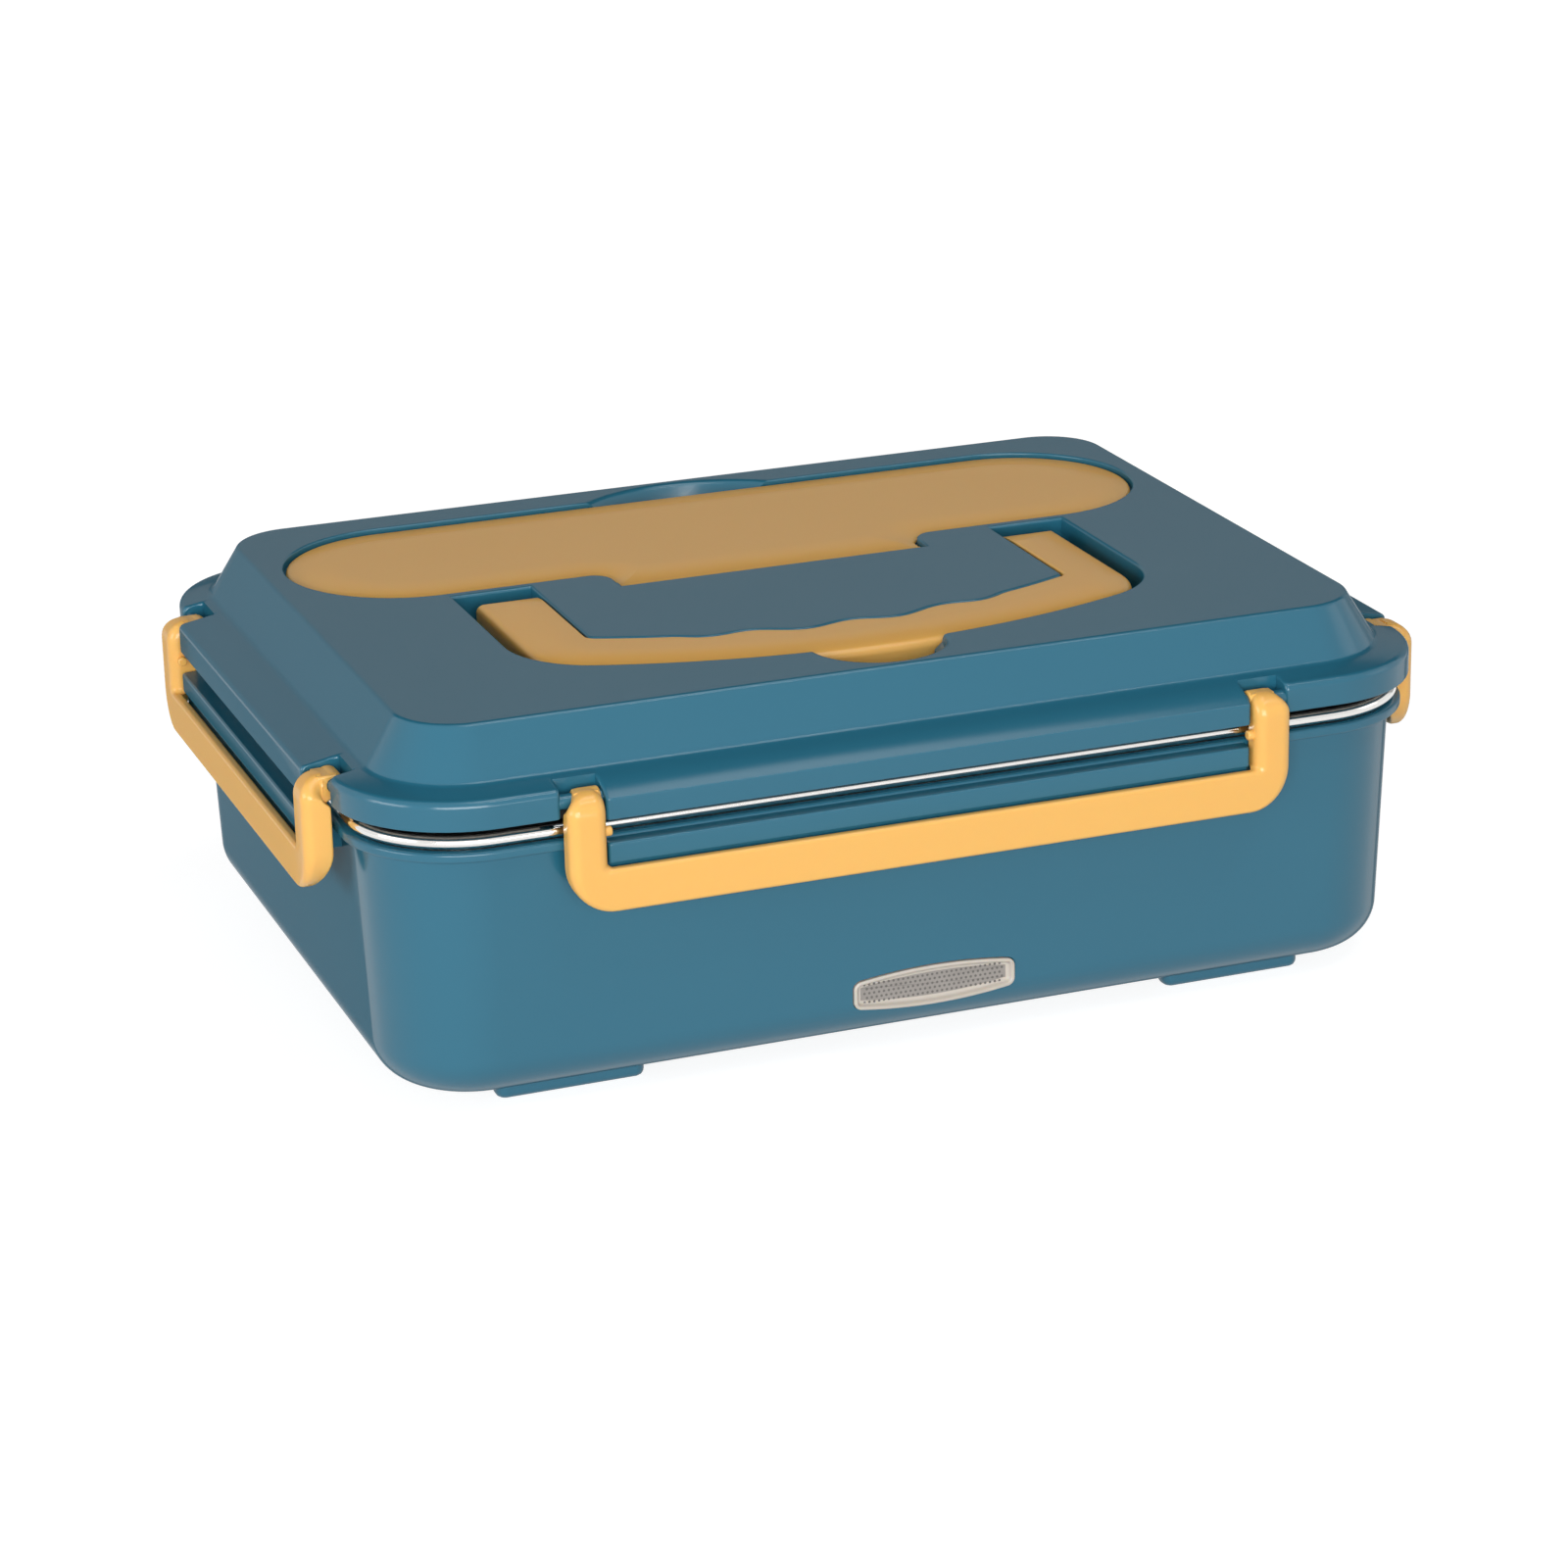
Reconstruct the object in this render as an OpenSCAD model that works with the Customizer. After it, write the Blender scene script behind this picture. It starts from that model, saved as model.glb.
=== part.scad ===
// Electric lunch box: a heated base, a lift-out steel food container and a latched lid
// with a folding carry handle and a hinged cutlery cover.
// The origin is the middle of the footprint, on the surface that the feet stand on.
// +X runs along the long side, +Y to the back, +Z up.

/* [Overall] */
// Length of the lid's flange
flange_w = 230.5; // [222:0.5:290]
// Depth of the lid's flange
flange_d = 172.5; // [170:0.5:220]
// Corner radius of the lid's flange
flange_r = 26.25; // [24:0.25:34]
// Height of the base's top rim above the table
base_h = 57; // [52:0.5:75]
// Height of the lid's top above the underside of its flange
lid_h = 17.25; // [16:0.05:25]

/* [Base shell] */
// How far the base's rim stands inside the lid's flange
rim_inset = 1.55; // [1:0.05:2]
// Height of the base's rim
rim_h = 2; // [1.6:0.1:3]
// How far the base wall's top stands inside its rim
wall_inset = 2.6; // [2:0.1:3.5]
// Thickness of the base wall
shell_t = 2.4; // [2:0.1:2.8]
// Draft of the base wall, in degrees
draft = 1.8; // [0.5:0.1:2.5]
// Radius between the base wall and its underside
bottom_r = 9; // [6:0.5:10]
// Height of the feet
foot_h = 3; // [2:0.5:5]
// Length of a foot
foot_w = 31; // [20:1:40]
// Thickness of the removable bottom cover
bottom_t = 2.1; // [1.6:0.1:2.1]
// How far the feet stand inside the wall's foot
foot_inset = 8; // [6:0.5:9]

/* [Food container] */
// Thickness of the chamber liner's sheet
liner_t = 0.8; // [0.6:0.1:1]
// Thickness of the container's sheet
steel_t = 0.7; // [0.5:0.1:0.9]
// Radius of the container's rolled rim
roll_r = 1.3; // [1:0.1:1.5]
// Height of the chamber floor above the table
chamber_z = 24.4; // [22:0.2:28]
// Gap between the container's wall and the chamber
container_gap = 1; // [0.6:0.1:1.4]

/* [Lid] */
// Height of the lid's flange
lid_rim_h = 5.7; // [5:0.1:6]
// Gap between the lid's flange and the base's rim
rim_gap = 4.85; // [4.7:0.05:5.5]
// How far the edge of the raised top stands inside the flange's edge
plateau_in = 12.75; // [11:0.25:13.5]
// How far the raised top's side spreads from its top to its foot
plateau_spread = 5.7; // [3:0.1:7]
// Height of the raised top's foot above the flange's underside
plateau_foot = 7.1; // [6.8:0.1:8]
// Thickness of the lid's walls
lid_t = 2.3; // [2:0.1:2.5]
// Thickness of the lid's inner panel
panel_t = 1.6; // [1.2:0.1:1.8]

/* [Latches] */
// How far the front and back latches stand out from the lid's flange
long_out = 4; // [3.8:0.1:5]
// How far the side latches stand out from the lid's flange
short_out = 5.5; // [4:0.1:6]
// Width of an arm of the front and back latches
long_arm_w = 7.8; // [7:0.1:11]
// Width of an arm of the side latches
short_arm_w = 8.5; // [7:0.1:11]
// Half of the length of the front and back latches
long_latch = 76.5; // [60:0.5:79]
// Half of the length of the side latches
short_latch = 59.5; // [40:0.5:60]
// Thickness of a latch arm
arm_t = 4.5; // [4.2:0.1:4.6]
// Height of the arms' curled top above the underside of the lid's flange
curl_h = 6.1; // [5.8:0.05:6.3]
// Thickness of a latch bar
bar_t = 2; // [1.8:0.1:2.6]
// Height of a latch bar
bar_h = 8.8; // [7:0.1:11]
// Drop from the base's rim to the top of a latch bar
bar_drop = 5.2; // [5:0.1:6]
// Radius of a latch's lower corners
latch_r = 9; // [5:0.5:9]
// Radius of the shafts that the latches turn on
shaft_r = 1.5; // [1.2:0.1:1.6]

/* [Handle] */
// Half of the handle's length
handle_w = 65.7; // [60:0.1:75]
// Width of a handle arm
handle_arm = 12.9; // [10:0.1:14]
// Thickness of the handle
handle_t = 7.2; // [6:0.1:8]
// Distance from the handle's hinge to the front of its grip
handle_reach = 58.2; // [52:0.1:60]
// Width of the grip at its middle
grip_w = 15.2; // [13:0.1:18]
// Radius of the grip's front edge
front_bow = 158; // [140:1:200]
// Radius of the grip's inner edge
inner_bow = 124; // [110:1:160]
// Radius of the corners between the grip and the arms
inner_corner = 2.4; // [1:0.1:4]
// Depth of the finger waves from their middle line
wave_depth = 1.2; // [0.5:0.1:2]
// Distance from one finger wave to the next
wave_pitch = 20.5; // [18:0.1:24]
// Radius of the handle's pins
handle_pin_r = 1.5; // [1.2:0.1:1.8]
// Width of the open groove outside the handle's arms
groove_out = 3.8; // [2:0.1:5]
// Radius of the finger bowl in front of the grip
scoop_r = 14.8; // [12:0.1:18]

/* [Cutlery cover] */
// Half of the cutlery cover's length
cover_w = 96.8; // [90:0.1:98]
// Distance from the middle of the box to the cover's front edge
cover_front = 10.8; // [9:0.1:13]
// Depth of the cover from front to back
cover_d = 52.2; // [40:0.1:56]
// Thickness of the cover
cover_t = 1.8; // [1.6:0.1:2]
// Half of the hinge tab's length
tab_w = 34.3; // [25:0.1:40]
// Distance from the middle of the box to the tab's front edge
tab_front = 0.5; // [0:0.1:1]
// Radius of the cover's hinge barrel
barrel_r = 2.5; // [2.3:0.1:2.7]
// Radius of the cover's hinge pins
cover_pin_r = 0.9; // [0.7:0.1:1]
// Radius of the finger notch behind the cover
notch_r = 35; // [25:1:45]
// How far the finger notch reaches behind the cover
notch_reach = 8; // [6:0.1:8.4]
// Depth of the finger notch
notch_h = 4.5; // [3:0.1:5]

/* [Heater and fittings] */
// Length of the heating plate
plate_w = 124; // [100:1:160]
// Depth of the heating plate
plate_d = 82; // [60:1:110]
// Length of the heating element
ptc_w = 62; // [50:1:80]
// Length of the indicator window
window_w = 35; // [25:0.5:45]
// Height of the indicator window at its middle
window_h = 8.4; // [7:0.1:8.6]
// Radius of the window's long edges
window_bow = 110; // [80:1:200]
// Radius of the window's corners
window_r = 1.8; // [1.2:0.1:2.5]
// Distance of the window from the middle of the front
window_x = 1.9; // [-5:0.1:5]
// Height of the window's middle above the table
window_z = 13.2; // [13:0.1:17]
// Height of the inlet's middle above the table
inlet_z = 15.6; // [15:0.1:17]
// Distance between the inlet's two pins
pin_pitch = 8.6; // [8.6:0.1:8.6]
// Radius of the inlet's pins
inlet_pin_r = 1.2; // [1.2:0.05:1.2]

/* [Hidden] */

// Clearances: parts that touch, parts that move past each other, and turning fits
seat = 0.1;
play = 0.3;
turn_gap = 0.08;
eps = 0.01;
round_fn = 96;

teal = [0.2, 0.42, 0.52];
amber = [0.95, 0.72, 0.35];
steel = [0.8, 0.8, 0.82];

// Every rim of the box turns about the same four corner centres
corner_x = flange_w / 2 - flange_r;
corner_y = flange_d / 2 - flange_r;

// Radii from the corner centres
rim_r = flange_r - rim_inset;
wall_top_r = rim_r - wall_inset;
wall_h = base_h - rim_h - foot_h;
wall_foot_r = wall_top_r - wall_h * tan(draft);
roll_inset = 0.85;
roll_out_r = rim_r - roll_inset;
roll_mid_r = roll_out_r - roll_r;
liner_lip_r = roll_mid_r;
air_gap = 2.4;
liner_top_r = wall_top_r - shell_t - air_gap;
container_top_r = liner_top_r - liner_t - container_gap;
chamber_draft = 2;

// Bottom opening, its ledge and the screws in it
opening_r = 7;
ledge_r = 1;
ledge_w = 8;
ledge_t = 2;
ledge_z = foot_h + bottom_t + seat;
boss_r = 3.2;
boss_h = 7;
screw_y = corner_y + (opening_r + ledge_r) / 2;
screw_x = corner_x - 19;
screw_r = 1.5;
screw_head_r = 2.7;
screw_head_h = 1;

// Lid heights
lid_z = base_h + rim_gap;
foot_z = lid_z + plateau_foot;
total_h = lid_z + lid_h;
top_r = flange_r - plateau_in;
plateau_foot_r = top_r + plateau_spread;
panel_z = lid_z + 0.25;
roof_z = total_h - lid_t;
well_t = 1.8;

// Latch hinge. A latch has its own frame: Y outward from the shaft, Z up.
axis_in = 1.8;
axis_z = lid_z + 3.05;
bar_top_z = base_h - bar_drop - axis_z;
bar_foot_z = bar_top_z - bar_h;
knuckle_r = shaft_r + 1.2;
bore_r = shaft_r + turn_gap;
curl_r = 4.5;
slit_in = knuckle_r + 1.4;
slit_gap = 0.4;
lug_w = 2.4;
band_gap = 0.6;
band_lip = 0.9;
base_band_h = 4.3;
nub_r = 1.2;
nub_z = lid_z - band_lip - nub_r - 0.85 - axis_z;

// Sizes of the latch on each side: 0 back, 1 left, 2 front, 3 right
function latch_half(side) = side % 2 == 0 ? long_latch : short_latch;
function arm_w(side) = side % 2 == 0 ? long_arm_w : short_arm_w;
function arm_x(side) = latch_half(side) - arm_w(side) / 2;
function latch_y(side) = axis_in + (side % 2 == 0 ? long_out : short_out);
function arm_in_y(side) = latch_y(side) - arm_t;
function band_y(side) = latch_y(side) - bar_t - play;

// Handle, groove and scoop
handle_z = total_h - handle_t / 2;
groove_z = total_h - handle_t - 0.5;
groove_back = 8;
handle_corner = 16;
groove_corner = 20;
bow_y = front_bow - handle_reach;
grip_in_y = grip_w - handle_reach;
groove_gap = 0.5;
scoop_y = 1.7 - handle_reach;
bowl_fillet = 5;

// Cutlery cover and its bay
cover_z = total_h - cover_t;
cover_lip = 0.9;
cover_gap = 0.5;
cover_end_r = cover_d / 2;
cover_mid_y = cover_front + cover_end_r;
tab_fillet = 5;
barrel_y = tab_front + barrel_r;
barrel_z = total_h - barrel_r;
bay_ledge = 2.5;
bay_z = panel_z + panel_t + well_t + play;
notch_under = 1.2;
notch_slope = 3;
vent_x = 62;
vent_r = 3;

// Heater
plate_t = 1.5;
plate_z = chamber_z - liner_t - plate_t;
ptc_h = 6;
ptc_d = 24;
ptc_z = plate_z - ptc_h;
stud_x = ptc_w / 2 + 8;
clamp_t = 1;
window_y = -(corner_y + wall_foot_r + (window_z - foot_h) * tan(draft));
window_t = 5.4;
board_y = window_y + window_t + 4.2;
inlet_x = corner_x + wall_foot_r + (inlet_z - foot_h) * tan(draft);
inlet_depth = 15;
inlet_half_w = 11;
inlet_half_h = 6;
socket_half_w = 8.3;
socket_half_h = 4.2;
socket_depth = 11;

function arc(cx, cy, r, from, to, steps) =
    [for (i = [0:steps]) let (a = from + (to - from) * i / steps) [cx + r * cos(a), cy + r * sin(a)]];
function mirrored(points) =
    [for (i = [len(points) - 1:-1:0]) [-points[i][0], points[i][1]]];

// Sweeps a profile round the shared rounded rectangle.
// The profile's x runs outward from the corner centres and its y is height.
module sweep_rim() {
    for (side = [0:3]) {
        along = side % 2 == 0 ? corner_y : corner_x;
        out = side % 2 == 0 ? corner_x : corner_y;
        rotate([0, 0, 90 * side])
            translate([out, along, 0])
                rotate([90, 0, 0])
                    linear_extrude(2 * along)
                        children();
        rotate([0, 0, 90 * side])
            translate([out, along, 0])
                rotate_extrude(angle = 90, $fn = round_fn)
                    children();
    }
}

// The flat plate inside the corner centres
module core(z, thickness) {
    translate([-corner_x, -corner_y, z])
        cube([2 * corner_x, 2 * corner_y, thickness]);
}

// A straight bar with round ends, standing up along Z
module slot_bar(length, width, height) {
    half = (length - width) / 2;
    translate([-half, -width / 2, 0])
        cube([2 * half, width, height]);
    for (x = [-half, half])
        translate([x, 0, 0])
            cylinder(h = height, d = width, $fn = 64);
}

// ---- Base ----

function shell_profile() =
    let (fillet_x = wall_foot_r - bottom_r, fillet_z = foot_h + bottom_r, floor_z = foot_h + shell_t)
    concat(
        arc(fillet_x, fillet_z, bottom_r, -90, 0, 8),
        [[wall_top_r, base_h - rim_h - 0.8], [rim_r - 0.5, base_h - rim_h], [rim_r, base_h - rim_h + 0.5],
         [rim_r, base_h - 0.6], [rim_r - 0.6, base_h], [liner_lip_r + seat, base_h],
         [liner_lip_r + seat, base_h - liner_t - seat], [wall_top_r - shell_t, base_h - liner_t - seat]],
        arc(fillet_x, fillet_z, bottom_r - shell_t, 0, -90, 8),
        [[ledge_r + ledge_w, floor_z], [ledge_r + ledge_w, ledge_z + ledge_t], [ledge_r, ledge_z + ledge_t],
         [ledge_r, ledge_z], [opening_r, ledge_z], [opening_r, foot_h]]);

// Feet: low ledges near the four corners, with rounded ends
module feet() {
    foot_front = corner_y + wall_foot_r - foot_inset;
    foot_d = foot_front - corner_y - opening_r - seat;
    for (sx = [-1, 1], sy = [-1, 1])
        translate([sx * (corner_x - 1 - foot_w / 2), sy * (foot_front - foot_d / 2), 0])
            for (x = [-1, 1]) {
                translate([-foot_w / 2 + foot_h, -foot_d / 2, 0])
                    cube([foot_w - 2 * foot_h, foot_d, foot_h + shell_t / 2]);
                translate([x * (foot_w / 2 - foot_h), -foot_d / 2, foot_h])
                    rotate([-90, 0, 0])
                        cylinder(h = foot_d, r = foot_h, $fn = 48);
            }
}

// The band that a latch bar catches under, between the latch's arms
function base_band_profile(side) =
    let (out_y = band_y(side), wall_y = axis_in - flange_r + wall_top_r - shell_t / 2,
         rim_y = axis_in - rim_inset - 1, foot = bar_top_z + play, top = foot + base_band_h)
    [[wall_y, foot], [out_y, foot], [out_y, top - 0.5], [out_y - 0.5, top], [rim_y, top],
     [rim_y, foot + base_band_h / 2], [wall_y, foot + base_band_h / 2]];

module base_bands() {
    for (side = [0:3]) {
        half = latch_half(side) - arm_w(side) - band_gap;
        at_latch(side)
            translate([-half, 0, 0])
                rotate([90, 0, 90])
                    linear_extrude(2 * half)
                        polygon(base_band_profile(side));
    }
}

// Puts its children at each of the bottom cover's screws
module at_screws(z) {
    for (x = [-screw_x, 0, screw_x], s = [-1, 1])
        translate([x, s * screw_y, z])
            children();
}

module screw_bosses() {
    at_screws(ledge_z + ledge_t)
        cylinder(h = boss_h, r = boss_r, $fn = 48);
}

// Barrel-shaped front outline of the indicator window, larger all round by grow
function window_outline(grow) =
    let (corner_x0 = window_w / 2 - window_r, mid_y = window_h / 2 - window_bow,
         corner_y0 = mid_y + sqrt(pow(window_bow - window_r, 2) - corner_x0 * corner_x0),
         meet = atan2(corner_y0 - mid_y, corner_x0),
         quarter = concat(arc(0, mid_y, window_bow + grow, 90, meet, 6),
                          arc(corner_x0, corner_y0, window_r + grow, meet, 0, 5)),
         half = concat(quarter, [for (i = [len(quarter) - 1:-1:0]) [quarter[i][0], -quarter[i][1]]]))
    concat(half, mirrored(half));

module outer_shell() {
    color(teal)
        difference() {
            union() {
                sweep_rim()
                    polygon(shell_profile());
                base_bands();
                feet();
                screw_bosses();
            }
            // screw pilots
            at_screws(ledge_z - 1)
                cylinder(h = ledge_t + boss_h, r = screw_r, $fn = 32);
            // window slot in the front wall
            translate([window_x, window_y + 6, window_z])
                rotate([90, 0, 0])
                    linear_extrude(12)
                        polygon(window_outline(seat));
            // inlet slot in the right wall
            translate([inlet_x - 6, 0, inlet_z])
                rotate([90, 0, 90])
                    slot_bar(2 * (inlet_half_w + seat), 2 * (inlet_half_h + seat), 12);
        }
}

module bottom_cover() {
    rib_h = 2.2;
    color(teal)
        difference() {
            union() {
                sweep_rim()
                    translate([0, foot_h])
                        square([opening_r - 2 * seat, bottom_t]);
                core(foot_h, bottom_t);
                for (y = [-36, 0, 36])
                    translate([-corner_x + 8, y - 0.8, foot_h + bottom_t - eps])
                        cube([2 * corner_x - 16, 1.6, rib_h]);
                for (x = [-54, 54])
                    translate([x - 0.8, -corner_y + 8, foot_h + bottom_t - eps])
                        cube([1.6, 2 * corner_y - 16, rib_h]);
            }
            at_screws(foot_h - 1) {
                cylinder(h = bottom_t + 2, r = screw_r + 0.2, $fn = 32);
                cylinder(h = 1 + screw_head_h + seat, r = screw_head_r + 0.2, $fn = 32);
            }
        }
}

module bottom_screws() {
    color(steel)
        at_screws(foot_h) {
            difference() {
                cylinder(h = screw_head_h, r = screw_head_r, $fn = 32);
                for (a = [0, 90])
                    rotate([0, 0, a])
                        translate([-1.6, -0.3, -eps])
                            cube([3.2, 0.6, 0.6]);
            }
            cylinder(h = bottom_t + ledge_t + 4, r = screw_r - 0.05, $fn = 32);
        }
}

function tub_profile(top_r, top_z, floor_z, fillet, thickness, slope) =
    let (foot_r = top_r - (top_z - floor_z) * tan(slope))
    concat(
        [[0, floor_z]],
        arc(foot_r - fillet, floor_z + fillet, fillet, -90, 0, 8),
        [[top_r, top_z], [top_r - thickness, top_z]],
        arc(foot_r - fillet, floor_z + fillet, fillet - thickness, 0, -90, 8),
        [[0, floor_z + thickness]]);

module chamber_liner() {
    floor_z = chamber_z - liner_t;
    color(steel) {
        sweep_rim()
            polygon(tub_profile(liner_top_r, base_h, floor_z, 6, liner_t, chamber_draft));
        sweep_rim()
            translate([liner_top_r - liner_t / 2, base_h - liner_t])
                square([liner_lip_r - liner_top_r + liner_t / 2, liner_t]);
        core(floor_z, liner_t);
    }
}

module heating_plate() {
    color([0.75, 0.76, 0.78])
        difference() {
            union() {
                translate([-plate_w / 2 + 10, -plate_d / 2, plate_z])
                    cube([plate_w - 20, plate_d, plate_t]);
                translate([-plate_w / 2, -plate_d / 2 + 10, plate_z])
                    cube([plate_w, plate_d - 20, plate_t]);
                for (sx = [-1, 1], sy = [-1, 1])
                    translate([sx * (plate_w / 2 - 10), sy * (plate_d / 2 - 10), plate_z])
                        cylinder(h = plate_t, r = 10, $fn = 64);
                for (s = [-1, 1])
                    translate([s * stud_x, 0, plate_z - ptc_h + clamp_t])
                        cylinder(h = ptc_h, r = 3, $fn = 32);
            }
            for (s = [-1, 1])
                translate([s * stud_x, 0, plate_z - ptc_h])
                    cylinder(h = ptc_h, r = 1.2, $fn = 32);
        }
}

module ptc_heater() {
    color([0.7, 0.7, 0.72])
        difference() {
            translate([-ptc_w / 2, -ptc_d / 2, ptc_z])
                cube([ptc_w, ptc_d, ptc_h]);
            for (s = [-1, 1])
                translate([-ptc_w / 2 - 1, s * (ptc_d / 2) - 1.5, ptc_z + 2])
                    cube([ptc_w + 2, 3, 2]);
        }
}

// Spring-steel strap that holds the heating element up against the plate
module heater_clamp() {
    clamp_d = 14;
    color(steel)
        difference() {
            union() {
                translate([-ptc_w / 2 - 2, -clamp_d / 2, ptc_z - clamp_t])
                    cube([ptc_w + 4, clamp_d, clamp_t]);
                for (s = [-1, 1]) {
                    translate([s * (ptc_w / 2 + 1.5) - 0.5, -clamp_d / 2, ptc_z - clamp_t])
                        cube([clamp_t, clamp_d, clamp_t + 1]);
                    translate([s * stud_x - 7, -clamp_d / 2, ptc_z])
                        cube([14, clamp_d, clamp_t]);
                }
            }
            for (s = [-1, 1])
                translate([s * stud_x, 0, ptc_z - 1])
                    cylinder(h = 4, r = 1.6, $fn = 32);
            translate([-8, -4, ptc_z - clamp_t - 1])
                cube([16, 8, clamp_t + 2]);
        }
}

module clamp_screws() {
    color(steel)
        for (s = [-1, 1])
            translate([s * stud_x, 0, 0]) {
                translate([0, 0, ptc_z - 1.8])
                    cylinder(h = 1.8, r = 2.6, $fn = 32);
                translate([0, 0, ptc_z - 0.5])
                    cylinder(h = 5, r = 1.15, $fn = 32);
            }
}

module thermal_cutoff() {
    color([0.85, 0.8, 0.7])
        translate([0, 26, plate_z - 2.05]) {
            rotate([0, 90, 0])
                cylinder(h = 13, r = 2, center = true, $fn = 48);
            rotate([0, 90, 0])
                cylinder(h = 30, r = 0.5, center = true, $fn = 32);
        }
}

// Two-pin inlet: a shrouded socket that the supply lead's connector pushes into
module power_inlet() {
    color([0.1, 0.1, 0.11])
        difference() {
            translate([inlet_x - inlet_depth, 0, inlet_z])
                rotate([90, 0, 90]) {
                    slot_bar(2 * inlet_half_w, 2 * inlet_half_h, inlet_depth);
                    translate([-inlet_half_w + 1, -inlet_half_h - 1, 0])
                        cube([2 * inlet_half_w - 2, 2 * inlet_half_h + 2, inlet_depth - shell_t - 3]);
                }
            translate([inlet_x - socket_depth, 0, inlet_z])
                rotate([90, 0, 90])
                    slot_bar(2 * socket_half_w, 2 * socket_half_h, socket_depth + 1);
            for (s = [-1, 1])
                translate([inlet_x - inlet_depth - 1, s * pin_pitch / 2, inlet_z])
                    rotate([0, 90, 0])
                        cylinder(h = inlet_depth, r = inlet_pin_r + 0.02, $fn = 32);
        }
}

module inlet_pins() {
    color([0.85, 0.75, 0.45])
        for (s = [-1, 1])
            translate([0, s * pin_pitch / 2, inlet_z]) {
                translate([inlet_x - inlet_depth - 3, 0, 0])
                    rotate([0, 90, 0])
                        cylinder(h = inlet_depth + 1, r = inlet_pin_r, $fn = 32);
                translate([inlet_x - inlet_depth - 8, -0.4, -1.6])
                    cube([5.5, 0.8, 3.2]);
            }
}

// Long barrel-shaped lens with a raised rim and a flange behind the wall
module indicator_window() {
    rim_w = 1;
    color([0.82, 0.79, 0.74])
        translate([window_x, window_y + window_t, window_z])
            rotate([90, 0, 0])
                difference() {
                    union() {
                        linear_extrude(window_t + 0.5)
                            polygon(window_outline(0));
                        linear_extrude(0.9)
                            polygon(window_outline(1.2));
                    }
                    translate([0, 0, window_t])
                        linear_extrude(1)
                            polygon(window_outline(-rim_w));
                }
}

module indicator_board() {
    color([0.1, 0.4, 0.2])
        difference() {
            union() {
                translate([window_x - 15, board_y, window_z - 6])
                    cube([30, 1.6, 12]);
                for (s = [-1, 1])
                    translate([window_x + s * 13 - 1.5, board_y - 4.1, window_z - 1.5])
                        cube([3, 4.2, 3]);
            }
            for (x = [-6, 6])
                translate([window_x + x, board_y - 1, window_z + 4.4])
                    rotate([-90, 0, 0])
                        cylinder(h = 4, r = 0.6, $fn = 24);
        }
}

module indicator_led() {
    color([1, 0.35, 0.2])
        for (x = [-7, 7])
            translate([window_x + x, board_y, window_z])
                rotate([90, 0, 0]) {
                    cylinder(h = 1, r = 1.9, $fn = 32);
                    cylinder(h = 2.6, r = 1.5, $fn = 32);
                }
}

// ---- Leads inside the base ----

lead_r = 0.9;
lead_sides = 8;

function bezier(p, t) =
    pow(1 - t, 3) * p[0] + 3 * pow(1 - t, 2) * t * p[1] + 3 * (1 - t) * t * t * p[2] + pow(t, 3) * p[3];
function unit(v) = v / norm(v);

// Tube of lead_sides sides along a bezier curve that stays close to level
module lead(p, rings = 14) {
    path = [for (i = [0:rings]) bezier(p, i / rings)];
    points = [
        for (i = [0:rings])
            let (ahead = unit(path[min(i + 1, rings)] - path[max(i - 1, 0)]),
                 side = unit(cross([0, 0, 1], ahead)), up = cross(ahead, side))
            for (k = [0:lead_sides - 1])
                let (a = 360 * k / lead_sides)
                path[i] + lead_r * (cos(a) * side + sin(a) * up)
    ];
    walls = [
        for (i = [0:rings - 1], k = [0:lead_sides - 1])
            let (next = (k + 1) % lead_sides)
            [i * lead_sides + k, (i + 1) * lead_sides + k, (i + 1) * lead_sides + next, i * lead_sides + next]
    ];
    ends = [[for (k = [0:lead_sides - 1]) k], [for (k = [lead_sides - 1:-1:0]) rings * lead_sides + k]];
    polyhedron(points, concat(walls, ends), convexity = 4);
}

module heater_leads() {
    tab_x = inlet_x - inlet_depth - 8.4;
    tab_y = pin_pitch / 2;
    end_x = ptc_w / 2 + lead_r + 0.2;
    end_y = 9.2;
    end_z = ptc_z + 3;
    led_end_y = board_y + 1.6 + lead_r + 0.2;
    color([0.8, 0.15, 0.1]) {
        for (s = [-1, 1])
            lead([[tab_x, s * tab_y, inlet_z], [tab_x - 12, s * (tab_y + 4), inlet_z],
                  [end_x + 18, s * (end_y + 4), end_z], [end_x, s * end_y, end_z]]);
        lead([[-end_x, -end_y, end_z], [-end_x - 15, -20, end_z - 1],
              [window_x - 30, led_end_y + 14, window_z], [window_x - 9, led_end_y, window_z]]);
    }
}

// ---- Steel food container ----

function container_profile() =
    let (web_z = base_h + play + 2 * roll_r - 0.3, floor_z = chamber_z + play, fillet = 8,
         foot_r = container_top_r - (web_z - floor_z) * tan(chamber_draft), roll_z = base_h + play + roll_r)
    concat(
        [[0, floor_z]],
        arc(foot_r - fillet, floor_z + fillet, fillet, -90, 0, 8),
        [[container_top_r - 0.1, web_z - steel_t - 1.2], [container_top_r + 1.1, web_z - steel_t],
         [roll_mid_r - 1.1, web_z - steel_t]],
        arc(roll_mid_r, roll_z, roll_r, 180, 492, 16),
        [[container_top_r + 0.8, web_z], [container_top_r - steel_t, web_z - 1.2]],
        arc(foot_r - fillet, floor_z + fillet, fillet - steel_t, 0, -90, 8),
        [[0, floor_z + steel_t]]);

module steel_container() {
    color(steel) {
        sweep_rim()
            polygon(container_profile());
        core(chamber_z + play, steel_t);
    }
}

// ---- Lid ----

// Puts its children in a latch's frame
module at_latch(side) {
    half = side % 2 == 0 ? flange_d / 2 : flange_w / 2;
    rotate([0, 0, 90 * side])
        translate([0, half - axis_in, axis_z])
            children();
}

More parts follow.
